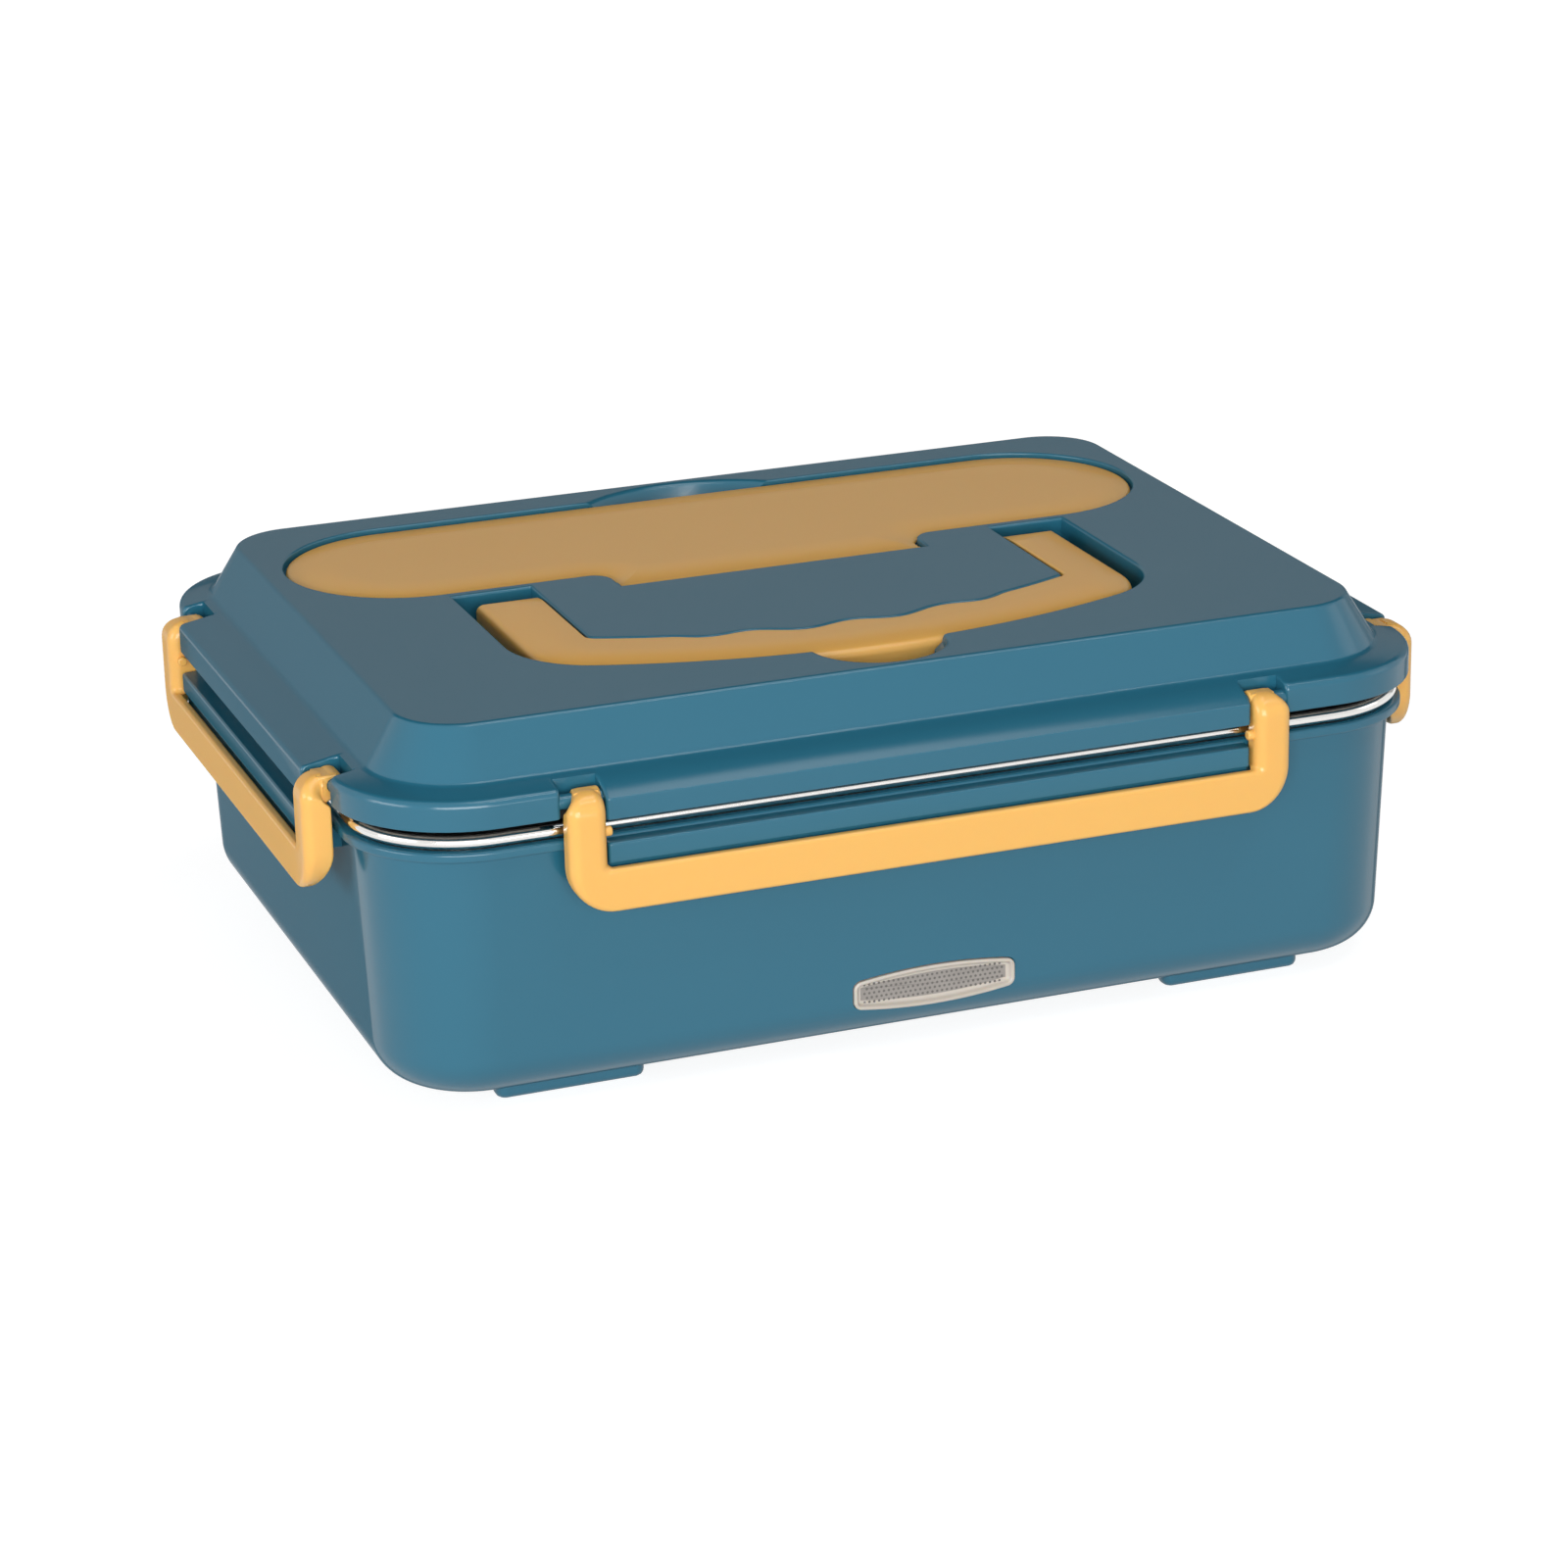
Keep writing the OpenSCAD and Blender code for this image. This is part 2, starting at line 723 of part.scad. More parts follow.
function lid_profile() =
    let (skirt_t = lid_t, brow_z = lid_z + lid_rim_h)
    concat(
        [[0, roof_z], [top_r - lid_t * 0.7, roof_z], [plateau_foot_r - lid_t, foot_z - 0.6 * lid_t],
         [flange_r - 4, brow_z - lid_t], [flange_r - skirt_t, brow_z - lid_t], [flange_r - skirt_t, lid_z],
         [flange_r - 0.4, lid_z], [flange_r, lid_z + 0.4]],
        arc(flange_r - 1.6, brow_z - 1.2, 1.6, 0, 72, 4),
        [[plateau_foot_r + 2.4, foot_z - 0.5], [plateau_foot_r, foot_z]],
        arc(top_r - 1, total_h - 1.2, 1.2, 28, 90, 4),
        [[0, total_h]]);

// The band that stands out from the flange between a latch's arms
function lid_band_profile(side) =
    let (in_y = axis_in - lid_t / 2, out_y = band_y(side), foot = lid_z - axis_z - band_lip,
         brow = lid_z - axis_z + lid_rim_h - 0.25)
    [[in_y, foot], [out_y - 0.3, foot], [out_y, foot + 0.3], [out_y, brow - 1], [out_y - 1, brow],
     [in_y, brow + 0.4]];

// Plan outline of the handle's U, from the middle of its front edge round to its arm's end
function u_half(half_w, bow, corner, back) =
    let (corner_y0 = bow_y - sqrt(pow(bow - corner, 2) - pow(half_w - corner, 2)),
         meet = atan2(corner_y0 - bow_y, half_w - corner))
    concat(arc(0, bow_y, bow, -90, meet, 14), arc(half_w - corner, corner_y0, corner, meet, 0, 8),
           [[half_w, back]]);
function u_outer(half_w, bow, corner, back) =
    concat(u_half(half_w, bow, corner, back), mirrored(u_half(half_w, bow, corner, back)));

// Inner edge of the grip at x: a shallow bow with four finger waves
wave_end = 1.75 * wave_pitch;
function grip_y(x) =
    grip_in_y + inner_bow - sqrt(inner_bow * inner_bow - x * x)
    + (abs(x) < wave_end ? wave_depth * cos(360 * x / wave_pitch) : 0);
function u_inner(gap, back) =
    let (half_w = handle_w - handle_arm - gap, corner = max(inner_corner - gap, 0.1),
         mid_y = grip_in_y + gap + inner_bow,
         corner_y0 = mid_y - sqrt(pow(inner_bow - corner, 2) - pow(half_w - corner, 2)),
         meet = atan2(corner_y0 - mid_y, half_w - corner), end_x = inner_bow * cos(meet),
         turn = arc(half_w - corner, corner_y0, corner, meet, 0, 6), steps = 52)
    concat([for (i = [1:steps - 1]) let (x = end_x * (2 * i / steps - 1)) [x, grip_y(x) + gap]],
           turn, [[half_w, back], [-half_w, back]], mirrored(turn));

// Plan outline of the cutlery cover, larger all round by grow
function cover_half(grow) =
    let (end_x = cover_w - cover_end_r)
    concat([[tab_w + grow, barrel_y]],
           arc(tab_w + tab_fillet, cover_front - tab_fillet, tab_fillet - grow, 180, 90, 6),
           arc(end_x, cover_mid_y, cover_end_r + grow, -90, 90, 28));
function cover_outline(grow) = concat(cover_half(grow), mirrored(cover_half(grow)));
function bay_half(grow) = arc(cover_w - cover_end_r, cover_mid_y, cover_end_r + grow, -90, 90, 28);
function bay_outline(grow) = concat(bay_half(grow), mirrored(bay_half(grow)));

module cover_barrel(radius, half_w) {
    translate([-half_w, barrel_y, barrel_z])
        rotate([0, 90, 0])
            cylinder(h = 2 * half_w, r = radius, $fn = 64);
}

// The finger notch behind the cover: a segment of a wide cone, larger all round by grow
module notch_segment(grow, top_z) {
    back_y = cover_front + cover_d;
    floor_z = total_h - notch_h - grow;
    slope = notch_slope / notch_h;
    intersection() {
        translate([0, back_y + notch_reach - notch_r, floor_z])
            cylinder(h = top_z - floor_z, r1 = notch_r - notch_slope + grow,
                     r2 = notch_r - notch_slope + grow + slope * (top_z - floor_z), $fn = 96);
        translate([-notch_r, back_y - notch_under - grow, floor_z - 1])
            cube([2 * notch_r, notch_r, top_z - floor_z + 2]);
    }
}

// Walls that hang below the lid's top and carry the hollows in it
module lid_wells() {
    groove_w = handle_w + groove_out;
    groove_h = roof_z - groove_z + well_t + eps;
    trough_foot = barrel_z - barrel_r - well_t - play;
    difference() {
        translate([0, 0, groove_z - well_t])
            linear_extrude(groove_h)
                polygon(u_outer(groove_w + well_t, front_bow + groove_gap + well_t,
                                groove_corner + well_t, groove_back + well_t));
        translate([0, 0, groove_z - well_t - 1])
            linear_extrude(groove_h + 1)
                polygon(u_inner(groove_gap + well_t, groove_back + 10));
    }
    translate([0, 0, bay_z - well_t])
        linear_extrude(roof_z - bay_z + well_t + eps)
            polygon(bay_outline(well_t - bay_ledge));
    // blocks that hold the hinge pins of the cover and of the handle
    translate([-tab_w - 5.5, barrel_y - 5, trough_foot])
        cube([2 * tab_w + 11, 12, roof_z - trough_foot + eps]);
    for (s = [-1, 1])
        translate([s * (handle_w - handle_arm - groove_gap - 3) - 3, -4, groove_z - well_t])
            cube([6, 8, groove_h]);
    // bowl in front of the grip
    translate([0, scoop_y, groove_z - well_t])
        cylinder(h = groove_h, r = scoop_r + well_t - 2, $fn = 64);
    notch_segment(well_t, roof_z + eps);
}

function bowl_profile() =
    concat([[0, groove_z]],
           arc(scoop_r - 2 - bowl_fillet, groove_z + bowl_fillet, bowl_fillet, -90, 0, 6),
           [[scoop_r, total_h - 1], [scoop_r, total_h + 1], [0, total_h + 1]]);

// Hollows in the lid's top: grip groove, finger bowl, cover seat, cutlery bay, hinge trough
module lid_hollows() {
    groove_w = handle_w + groove_out;
    difference() {
        union() {
            translate([0, 0, groove_z])
                linear_extrude(total_h - groove_z + 1)
                    polygon(u_outer(groove_w, front_bow + groove_gap, groove_corner, groove_back));
            translate([0, scoop_y, 0])
                rotate_extrude($fn = 64)
                    polygon(bowl_profile());
        }
        translate([0, 0, groove_z - 1])
            linear_extrude(total_h - groove_z + 3)
                polygon(u_inner(groove_gap, groove_back + 10));
    }
    translate([0, 0, cover_z - seat])
        linear_extrude(cover_t + 1)
            polygon(cover_outline(cover_gap));
    translate([0, 0, bay_z])
        linear_extrude(total_h - bay_z)
            polygon(bay_outline(-bay_ledge));
    cover_barrel(barrel_r + play, tab_w + play);
    translate([-tab_w - play, barrel_y - barrel_r - play, barrel_z])
        cube([2 * (tab_w + play), 2 * barrel_r + 2, barrel_r + 1]);
    notch_segment(0, total_h + 1);
}

// The slit in the flange for each latch arm
module latch_slits(side) {
    slit_w = arm_w(side) + 2 * slit_gap;
    at_latch(side)
        for (s = [-1, 1])
            translate([s * arm_x(side) - slit_w / 2, -slit_in, lid_z - axis_z - 1.5])
                cube([slit_w, slit_in + 12, 12.5]);
}

// The moulded shaft in each slit
module latch_shafts(side) {
    at_latch(side)
        for (s = [-1, 1])
            translate([s * arm_x(side), 0, 0])
                rotate([0, 90, 0])
                    cylinder(h = arm_w(side) + 4, r = shaft_r, center = true, $fn = 48);
}

// Solid lugs in the hollow flange, either side of each slit, that root the shafts
module latch_lugs(side) {
    width = arm_w(side) + 2 * (slit_gap + lug_w);
    at_latch(side)
        for (s = [-1, 1])
            translate([s * arm_x(side) - width / 2, -slit_in - 1.2, panel_z + 0.2 - axis_z])
                cube([width, slit_in + 2.4, lid_rim_h - 1]);
}

module lid_shell() {
    color(teal) {
        difference() {
            union() {
                sweep_rim()
                    polygon(lid_profile());
                core(roof_z, lid_t);
                lid_wells();
                for (side = [0:3]) {
                    half = latch_half(side) - arm_w(side) - slit_gap;
                    at_latch(side)
                        translate([-half, 0, 0])
                            rotate([90, 0, 90])
                                linear_extrude(2 * half)
                                    polygon(lid_band_profile(side));
                    latch_lugs(side);
                }
            }
            lid_hollows();
            for (side = [0:3])
                latch_slits(side);
            // bores for the pins
            for (s = [-1, 1]) {
                translate([s * (handle_w - handle_arm - groove_gap), 0, handle_z])
                    rotate([0, 90, 0])
                        cylinder(h = 11, r = handle_pin_r + 0.02, center = true, $fn = 48);
                translate([s * (tab_w + play), barrel_y, barrel_z])
                    rotate([0, 90, 0])
                        cylinder(h = 8, r = cover_pin_r + 0.02, center = true, $fn = 48);
            }
            translate([vent_x, cover_mid_y, bay_z - well_t - 1])
                cylinder(h = well_t + 2, r = vent_r, $fn = 48);
        }
        for (side = [0:3])
            latch_shafts(side);
    }
}

function relief_w(side) = arm_w(side) + 2 * (slit_gap + lug_w + play);

module lid_liner() {
    out_r = flange_r - lid_t - play;
    ring_r = container_top_r - steel_t - 1;
    color([0.9, 0.9, 0.88])
        difference() {
            union() {
                sweep_rim()
                    polygon([[0, panel_z], [ring_r - 1.4, panel_z], [ring_r - 1.4, panel_z - 4.6],
                             [ring_r, panel_z - 4.6], [ring_r, panel_z], [tongue_r - 0.7, panel_z],
                             [tongue_r - 0.7, panel_z + 0.9], [tongue_r + 0.7, panel_z + 0.9],
                             [tongue_r + 0.7, panel_z], [out_r, panel_z], [out_r, panel_z + panel_t],
                             [0, panel_z + panel_t]]);
                core(panel_z, panel_t);
            }
            translate([vent_x, cover_mid_y, panel_z - 1])
                cylinder(h = panel_t + 2, r = vent_r, $fn = 48);
            // clearance round the latch lugs
            for (side = [0:3])
                at_latch(side)
                    for (s = [-1, 1])
                        translate([s * arm_x(side) - relief_w(side) / 2, -slit_in - 1.5, panel_z - axis_z - 1])
                            cube([relief_w(side), slit_in + 12, 6]);
        }
}

seal_mid_r = roll_mid_r - 3.4;
tongue_r = seal_mid_r - 1.3;

module lid_seal() {
    seal_z = base_h + 2 * roll_r + 2 * play;
    color([0.85, 0.85, 0.85])
        sweep_rim()
            polygon([[seal_mid_r - 2.2, seal_z + 0.5], [seal_mid_r - 1.6, seal_z], [seal_mid_r + 1.6, seal_z],
                     [seal_mid_r + 2.2, seal_z + 0.5], [seal_mid_r + 2.2, panel_z - 0.05],
                     [tongue_r + 0.6, panel_z - 0.05], [tongue_r + 0.6, panel_z + 0.8],
                     [tongue_r - 0.6, panel_z + 0.8], [tongue_r - 0.6, panel_z - 0.05],
                     [seal_mid_r - 2.2, panel_z - 0.05]]);
}

module steam_vent_plug() {
    color([0.9, 0.9, 0.9])
        translate([vent_x, cover_mid_y, 0]) {
            translate([0, 0, bay_z + seat])
                cylinder(h = 1.6, r = 6, $fn = 48);
            translate([0, 0, panel_z + 0.4])
                cylinder(h = bay_z - panel_z, r = vent_r - turn_gap, $fn = 48);
            translate([-1, -4, bay_z + 1.6])
                cube([2, 8, 3]);
        }
}

module handle() {
    color(amber)
        difference() {
            union() {
                difference() {
                    translate([0, 0, total_h - handle_t])
                        linear_extrude(handle_t)
                            polygon(u_outer(handle_w, front_bow, handle_corner, 0));
                    translate([0, 0, total_h - handle_t - 1])
                        linear_extrude(handle_t + 2)
                            polygon(u_inner(0, 10));
                }
                for (s = [-1, 1])
                    translate([s * (handle_w - handle_arm / 2), 0, handle_z])
                        rotate([0, 90, 0])
                            cylinder(h = handle_arm, r = handle_t / 2, center = true, $fn = 64);
            }
            for (s = [-1, 1])
                translate([s * (handle_w - handle_arm), 0, handle_z])
                    rotate([0, 90, 0])
                        cylinder(h = 15, r = handle_pin_r + turn_gap, center = true, $fn = 48);
            // hollow under the grip
            translate([-30, grip_in_y - grip_w + 5, total_h - handle_t - 1])
                cube([60, 5, handle_t - 1.5]);
        }
}

module handle_pins() {
    color(steel)
        for (s = [-1, 1])
            translate([s * (handle_w - handle_arm - groove_gap + 0.9), 0, handle_z])
                rotate([0, 90, 0])
                    cylinder(h = 12, r = handle_pin_r, center = true, $fn = 48);
}

module cutlery_cover() {
    color(amber)
        difference() {
            union() {
                translate([0, 0, total_h - cover_lip])
                    linear_extrude(cover_lip)
                        polygon(cover_outline(0));
                translate([0, 0, cover_z])
                    linear_extrude(cover_t - cover_lip + eps)
                        polygon(cover_outline(-0.5));
                cover_barrel(barrel_r, tab_w);
                // stiffening rib that drops inside the bay
                translate([-60, cover_mid_y - 0.8, cover_z - 2])
                    cube([120, 1.6, 2 + eps]);
            }
            for (s = [-1, 1])
                translate([s * tab_w, barrel_y, barrel_z])
                    rotate([0, 90, 0])
                        cylinder(h = 10, r = cover_pin_r + turn_gap, center = true, $fn = 48);
        }
}

module cover_hinge_pins() {
    color(steel)
        for (s = [-1, 1])
            translate([s * (tab_w + play), barrel_y, barrel_z])
                rotate([0, 90, 0])
                    cylinder(h = 7.4, r = cover_pin_r, center = true, $fn = 48);
}

// ---- Latches ----

function arm_profile(side) =
    let (out_y = latch_y(side), in_y = arm_in_y(side), curl_z = lid_z + curl_h - axis_z - curl_r)
    concat([[in_y, bar_foot_z], [out_y, bar_foot_z]],
           arc(out_y - curl_r, curl_z, curl_r, 0, 120, 10),
           [[-1.5, 1], [in_y, -2]]);

// Front outline: square at the top, round at the two lower corners
function latch_outline(half) =
    let (corner_z = bar_foot_z + latch_r, top_z = 8)
    concat([[half, top_z]],
           arc(half - latch_r, corner_z, latch_r, 0, -90, 8),
           arc(latch_r - half, corner_z, latch_r, -90, -180, 8),
           [[-half, top_z]]);

module latch(side) {
    half = latch_half(side);
    arm = arm_w(side);
    color(amber)
        at_latch(side) {
            difference() {
                intersection() {
                    union() {
                        for (s = [-1, 1])
                            translate([s * arm_x(side) - arm / 2, 0, 0])
                                rotate([90, 0, 90]) {
                                    linear_extrude(arm)
                                        polygon(arm_profile(side));
                                    cylinder(h = arm, r = knuckle_r, $fn = 64);
                                }
                        translate([-arm_x(side), latch_y(side) - bar_t, bar_foot_z])
                            cube([2 * arm_x(side), bar_t, bar_h]);
                    }
                    translate([0, 12, 0])
                        rotate([90, 0, 0])
                            linear_extrude(24)
                                polygon(latch_outline(half));
                }
                for (s = [-1, 1])
                    translate([s * arm_x(side), 0, 0]) {
                        rotate([0, 90, 0])
                            cylinder(h = arm + 2, r = bore_r, center = true, $fn = 48);
                        // snap mouth
                        translate([-arm / 2 - 1, -knuckle_r - 1, -1.1])
                            cube([arm + 2, knuckle_r + 1, 2.2]);
                    }
            }
            // stop nubs that ride in the gap below the lid's band
            for (s = [-1, 1])
                translate([s * (half - arm - 0.5), latch_y(side) - 2.6, nub_z])
                    rotate([0, 90, 0])
                        cylinder(h = 3, r = nub_r, center = true, $fn = 32);
        }
}

module latch_front() {
    latch(2);
}

module latch_back() {
    latch(0);
}

module latch_left() {
    latch(1);
}

module latch_right() {
    latch(3);
}

outer_shell();
bottom_cover();
bottom_screws();
chamber_liner();
heating_plate();
ptc_heater();
heater_clamp();
clamp_screws();
thermal_cutoff();
power_inlet();
inlet_pins();
indicator_window();
indicator_board();
indicator_led();
heater_leads();
steel_container();
lid_shell();
lid_liner();
lid_seal();
steam_vent_plug();
handle();
handle_pins();
cutlery_cover();
cover_hinge_pins();
latch_front();
latch_back();
latch_left();
latch_right();
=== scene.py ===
"""Electric lunch box: the visible surfaces, their finishes, the studio and the camera.

Every piece is built in millimetres round the CAD frame and rides on a CAD body.
"""

import logging
import math
from dataclasses import dataclass, field
from enum import Enum
from typing import Callable, Iterable, Sequence

import bmesh
import bpy
from mathutils import Matrix, Vector


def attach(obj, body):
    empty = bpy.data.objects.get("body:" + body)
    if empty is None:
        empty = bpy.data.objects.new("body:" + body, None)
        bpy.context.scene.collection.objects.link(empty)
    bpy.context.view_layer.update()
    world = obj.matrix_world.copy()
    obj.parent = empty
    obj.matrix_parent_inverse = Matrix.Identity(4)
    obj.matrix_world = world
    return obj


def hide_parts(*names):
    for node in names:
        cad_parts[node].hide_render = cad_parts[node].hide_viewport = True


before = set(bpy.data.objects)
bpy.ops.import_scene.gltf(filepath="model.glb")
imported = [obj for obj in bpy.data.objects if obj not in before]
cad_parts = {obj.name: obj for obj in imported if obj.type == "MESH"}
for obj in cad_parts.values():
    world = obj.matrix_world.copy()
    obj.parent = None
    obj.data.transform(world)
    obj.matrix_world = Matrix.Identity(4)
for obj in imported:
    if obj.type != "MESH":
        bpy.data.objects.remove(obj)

log = logging.getLogger("lunch_box")

MM = 0.001
# Points nearer than this, in metres, become one
MERGE = 2e-6
# Edges that turn by more degrees than this stay sharp
CREASE = 32

Pair = tuple[float, float]
Point = tuple[float, float, float]
Outline = list[Pair]
Levels = list[Pair]


# ---- Plan geometry ----


def arc(cx: float, cy: float, r: float, start: float, end: float, steps: int) -> Outline:
    """Points along a circular arc between two angles in degrees, both ends included."""
    angles = [math.radians(start + (end - start) * i / steps) for i in range(steps + 1)]
    return [(cx + r * math.cos(a), cy + r * math.sin(a)) for a in angles]


def bezier(p: Sequence[Pair], steps: int) -> Outline:
    """Points along a cubic curve.

    Args:
        p: The four control points.
        steps: Number of chords.

    Returns:
        The points, both ends included.
    """
    points = []
    for i in range(steps + 1):
        t = i / steps
        weights = ((1 - t) ** 3, 3 * (1 - t) ** 2 * t, 3 * (1 - t) * t * t, t ** 3)
        points.append(tuple(sum(w * q[k] for w, q in zip(weights, p)) for k in (0, 1)))
    return points


def eased(share: float) -> float:
    """A share from 0 to 1 that leaves and arrives softly."""
    return share ** 2 * (3 - 2 * share)


def mirrored(points: Outline) -> Outline:
    """The points in reverse order with their first coordinate turned round."""
    return [(-x, y) for x, y in reversed(points)]


def clean(points: Outline) -> Outline:
    """The closed outline counterclockwise and without repeated points.

    Args:
        points: The outline.

    Returns:
        The outline.
    """
    kept = [p for i, p in enumerate(points) if math.dist(p, points[i - 1]) > 1e-4]
    area = sum(a[0] * b[1] - b[0] * a[1] for a, b in zip(kept, kept[1:] + kept[:1]))
    return kept if area > 0 else kept[::-1]


def both_halves(right: Outline) -> Outline:
    """The closed outline of a right half and its mirror image."""
    return clean(right + mirrored(right))


def offset(points: Outline, grow: float) -> Outline:
    """Moves a closed counterclockwise outline outward along its corners' mitres.

    Args:
        points: The outline, without repeated points.
        grow: Distance, negative to shrink.

    Returns:
        An outline with as many points.
    """
    moved = []
    count = len(points)
    for i, (x, y) in enumerate(points):
        before = Vector((x - points[i - 1][0], y - points[i - 1][1])).normalized()
        after = Vector((points[(i + 1) % count][0] - x, points[(i + 1) % count][1] - y)).normalized()
        n0, n1 = Vector((before.y, -before.x)), Vector((after.y, -after.x))
        mitre = (n0 + n1) / max(0.4, 1 + n0.dot(n1))
        moved.append((x + grow * mitre.x, y + grow * mitre.y))
    return moved


def round_corner(a: Pair, corner: Pair, b: Pair, r: float, steps: int) -> Outline:
    """An arc that rounds the corner between two straight edges.

    Args:
        a: A point before the corner.
        corner: The corner.
        b: A point after the corner.
        r: Radius of the arc.
        steps: Number of chords.

    Returns:
        The arc's points in order.
    """
    c = Vector(corner)
    to_a, to_b = (Vector(a) - c).normalized(), (Vector(b) - c).normalized()
    half = math.acos(max(-1.0, min(1.0, to_a.dot(to_b)))) / 2
    centre = c + (to_a + to_b).normalized() * (r / math.sin(half))
    start = c + to_a * (r / math.tan(half)) - centre
    end = c + to_b * (r / math.tan(half)) - centre
    turn = math.atan2(start.x * end.y - start.y * end.x, start.dot(end))
    points = []
    for i in range(steps + 1):
        a_i = turn * i / steps
        points.append((centre.x + start.x * math.cos(a_i) - start.y * math.sin(a_i),
                       centre.y + start.x * math.sin(a_i) + start.y * math.cos(a_i)))
    return points


def rounded_box(width: float, height: float, r: float) -> Outline:
    """A rectangle round the origin with round corners.

    Args:
        width: Size along the first axis.
        height: Size along the second.
        r: The corners' radius.

    Returns:
        The outline, counterclockwise.
    """
    x, y = width / 2 - r, height / 2 - r
    return clean([p for k, (sx, sy) in enumerate(((1, -1), (1, 1), (-1, 1), (-1, -1)))
                  for p in arc(sx * x, sy * y, r, 90 * k - 90, 90 * k, 8)])


def plate_levels(foot: float, top: float, low: float, high: float, steps: int = 5) -> Levels:
    """Levels of a plate whose lower and upper edges are rounded.

    Args:
        foot: Height of the underside.
        top: Height of the upper face.
        low: Radius of the lower edge.
        high: Radius of the upper edge.
        steps: Chords in each edge.

    Returns:
        (grow, height) pairs, from the underside up.
    """
    under = arc(-low, foot + low, low, -90, 0, steps) if low else [(0.0, foot)]
    over = arc(-high, top - high, high, 0, 90, steps) if high else [(0.0, top)]
    return under + over


def pocket_levels(floor: float, top: float, fillet: float, flare: float, rise: float = 2) -> Levels:
    """Levels of a cutter that leaves a pocket with a filleted floor and a rounded mouth.

    Args:
        floor: Height of the pocket's floor.
        top: Height of the face that the pocket opens in.
        fillet: Radius between the floor and the wall.
        flare: Radius of the mouth's edge.
        rise: How far the cutter stands above the face.

    Returns:
        (grow, height) pairs, from the floor up.
    """
    low = arc(-fillet, floor + fillet, fillet, -90, 0, 6) if fillet else [(0.0, floor)]
    mouth = [(flare - flare * math.cos(math.radians(a)), top - flare + flare * math.sin(math.radians(a)))
             for a in (0, 15, 30, 45, 60, 75)]
    return low + mouth + [(1.25 * flare, top + 0.03 * flare), (1.25 * flare, top + rise)]


def crown_levels(top: float, drop: float, edge: float, reach: float, insets: Sequence[float]) -> Levels:
    """Levels of an upper face that rises by the drop over its reach from the edge's inset."""
    return [(-g, top - drop * (1 - (g - edge) / reach) ** 2) for g in insets]


# ---- Meshes ----


class Shape:
    """A mesh under construction, in millimetres."""

    def __init__(self) -> None:
        """Starts with nothing in it."""
        self.points: list[Point] = []
        self.faces: list[tuple[int, ...]] = []

    def ring(self, points: Iterable[Sequence[float]]) -> list[int]:
        """Adds points and gives their numbers.

        Args:
            points: The points, in millimetres.

        Returns:
            Their numbers in the mesh.
        """
        start = len(self.points)
        self.points.extend(tuple(p) for p in points)
        return list(range(start, len(self.points)))

    def bridge(self, low: list[int], high: list[int], closed: bool = True) -> None:
        """Joins two rows of as many points with four-sided faces.

        Args:
            low: Numbers of one row.
            high: Numbers of the other.
            closed: Whether each row's end meets its start.
        """
        count = len(low)
        for i in range(count if closed else count - 1):
            k = (i + 1) % count
            self.faces.append((low[i], low[k], high[k], high[i]))

    def loft(self, rings: Sequence[Iterable[Sequence[float]]]) -> "Shape":
        """Joins closed rings in order, and fills the first and the last.

        Args:
            rings: The rings, each with as many points.

        Returns:
            The shape itself.
        """
        rows = [self.ring(r) for r in rings]
        for low, high in zip(rows, rows[1:]):
            self.bridge(low, high)
        self.faces += [tuple(reversed(rows[0])), tuple(rows[-1])]
        return self

    def placed(self, matrix: Matrix) -> "Shape":
        """Moves every point by a matrix in millimetres."""
        self.points = [tuple(matrix @ Vector(p)) for p in self.points]
        return self

    def moved(self, x: float, y: float, z: float) -> "Shape":
        """Moves every point along the three axes."""
        return self.placed(Matrix.Translation((x, y, z)))

    def piece(self, name: str) -> bpy.types.Object:
        """Makes the object, in metres, with its faces outward.

        Args:
            name: The piece's name.

        Returns:
            The object, at the origin.
        """
        mesh = bpy.data.meshes.new(name)
        mesh.from_pydata([tuple(c * MM for c in p) for p in self.points], [], self.faces)
        work = bmesh.new()
        work.from_mesh(mesh)
        bmesh.ops.remove_doubles(work, verts=work.verts, dist=MERGE)
        bmesh.ops.recalc_face_normals(work, faces=work.faces)
        work.to_mesh(mesh)
        work.free()
        return linked(bpy.data.objects.new(name, mesh))


def stack(outline: Outline, levels: Levels) -> Shape:
    """A solid whose closed outline grows and shrinks from level to level."""
    plan = clean(outline)
    return Shape().loft([[(x, y, z) for x, y in offset(plan, grow)] for grow, z in levels])


def spun(profile: Levels, segments: int, centre: Pair = (0, 0)) -> Shape:
    """A solid of revolution about an upright axis.

    Args:
        profile: (radius, height) pairs, from the underside up.
        segments: Faces round the axis.
        centre: The axis's place in plan.

    Returns:
        The solid.
    """
    turns = [math.tau * i / segments for i in range(segments)]
    return Shape().loft([[(centre[0] + r * math.cos(a), centre[1] + r * math.sin(a), z) for a in turns]
                         for r, z in profile])


def block(x: Pair, y: Pair, z: Pair) -> Shape:
    """A plain block between two places along each axis."""
    plan = ((x[0], y[0]), (x[1], y[0]), (x[1], y[1]), (x[0], y[1]))
    return Shape().loft([[(*corner, height) for corner in plan] for height in z])


def along_x(profile: Outline, start: float, end: float, edge: float = 0,
            far_edge: float | None = None) -> Shape:
    """A bar along X, with its two ends' edges rounded.

    Args:
        profile: Closed outline in Y and Z.
        start: Lowest X.
        end: Highest X.
        edge: Radius of the edge at the start, and at the end unless that has its own.
        far_edge: Radius of the edge at the end.

    Returns:
        The solid.
    """
    levels = plate_levels(start, end, edge, edge if far_edge is None else far_edge, 6)
    plan = clean(profile)
    return Shape().loft([[(x, y, z) for y, z in offset(plan, grow)] for grow, x in levels])


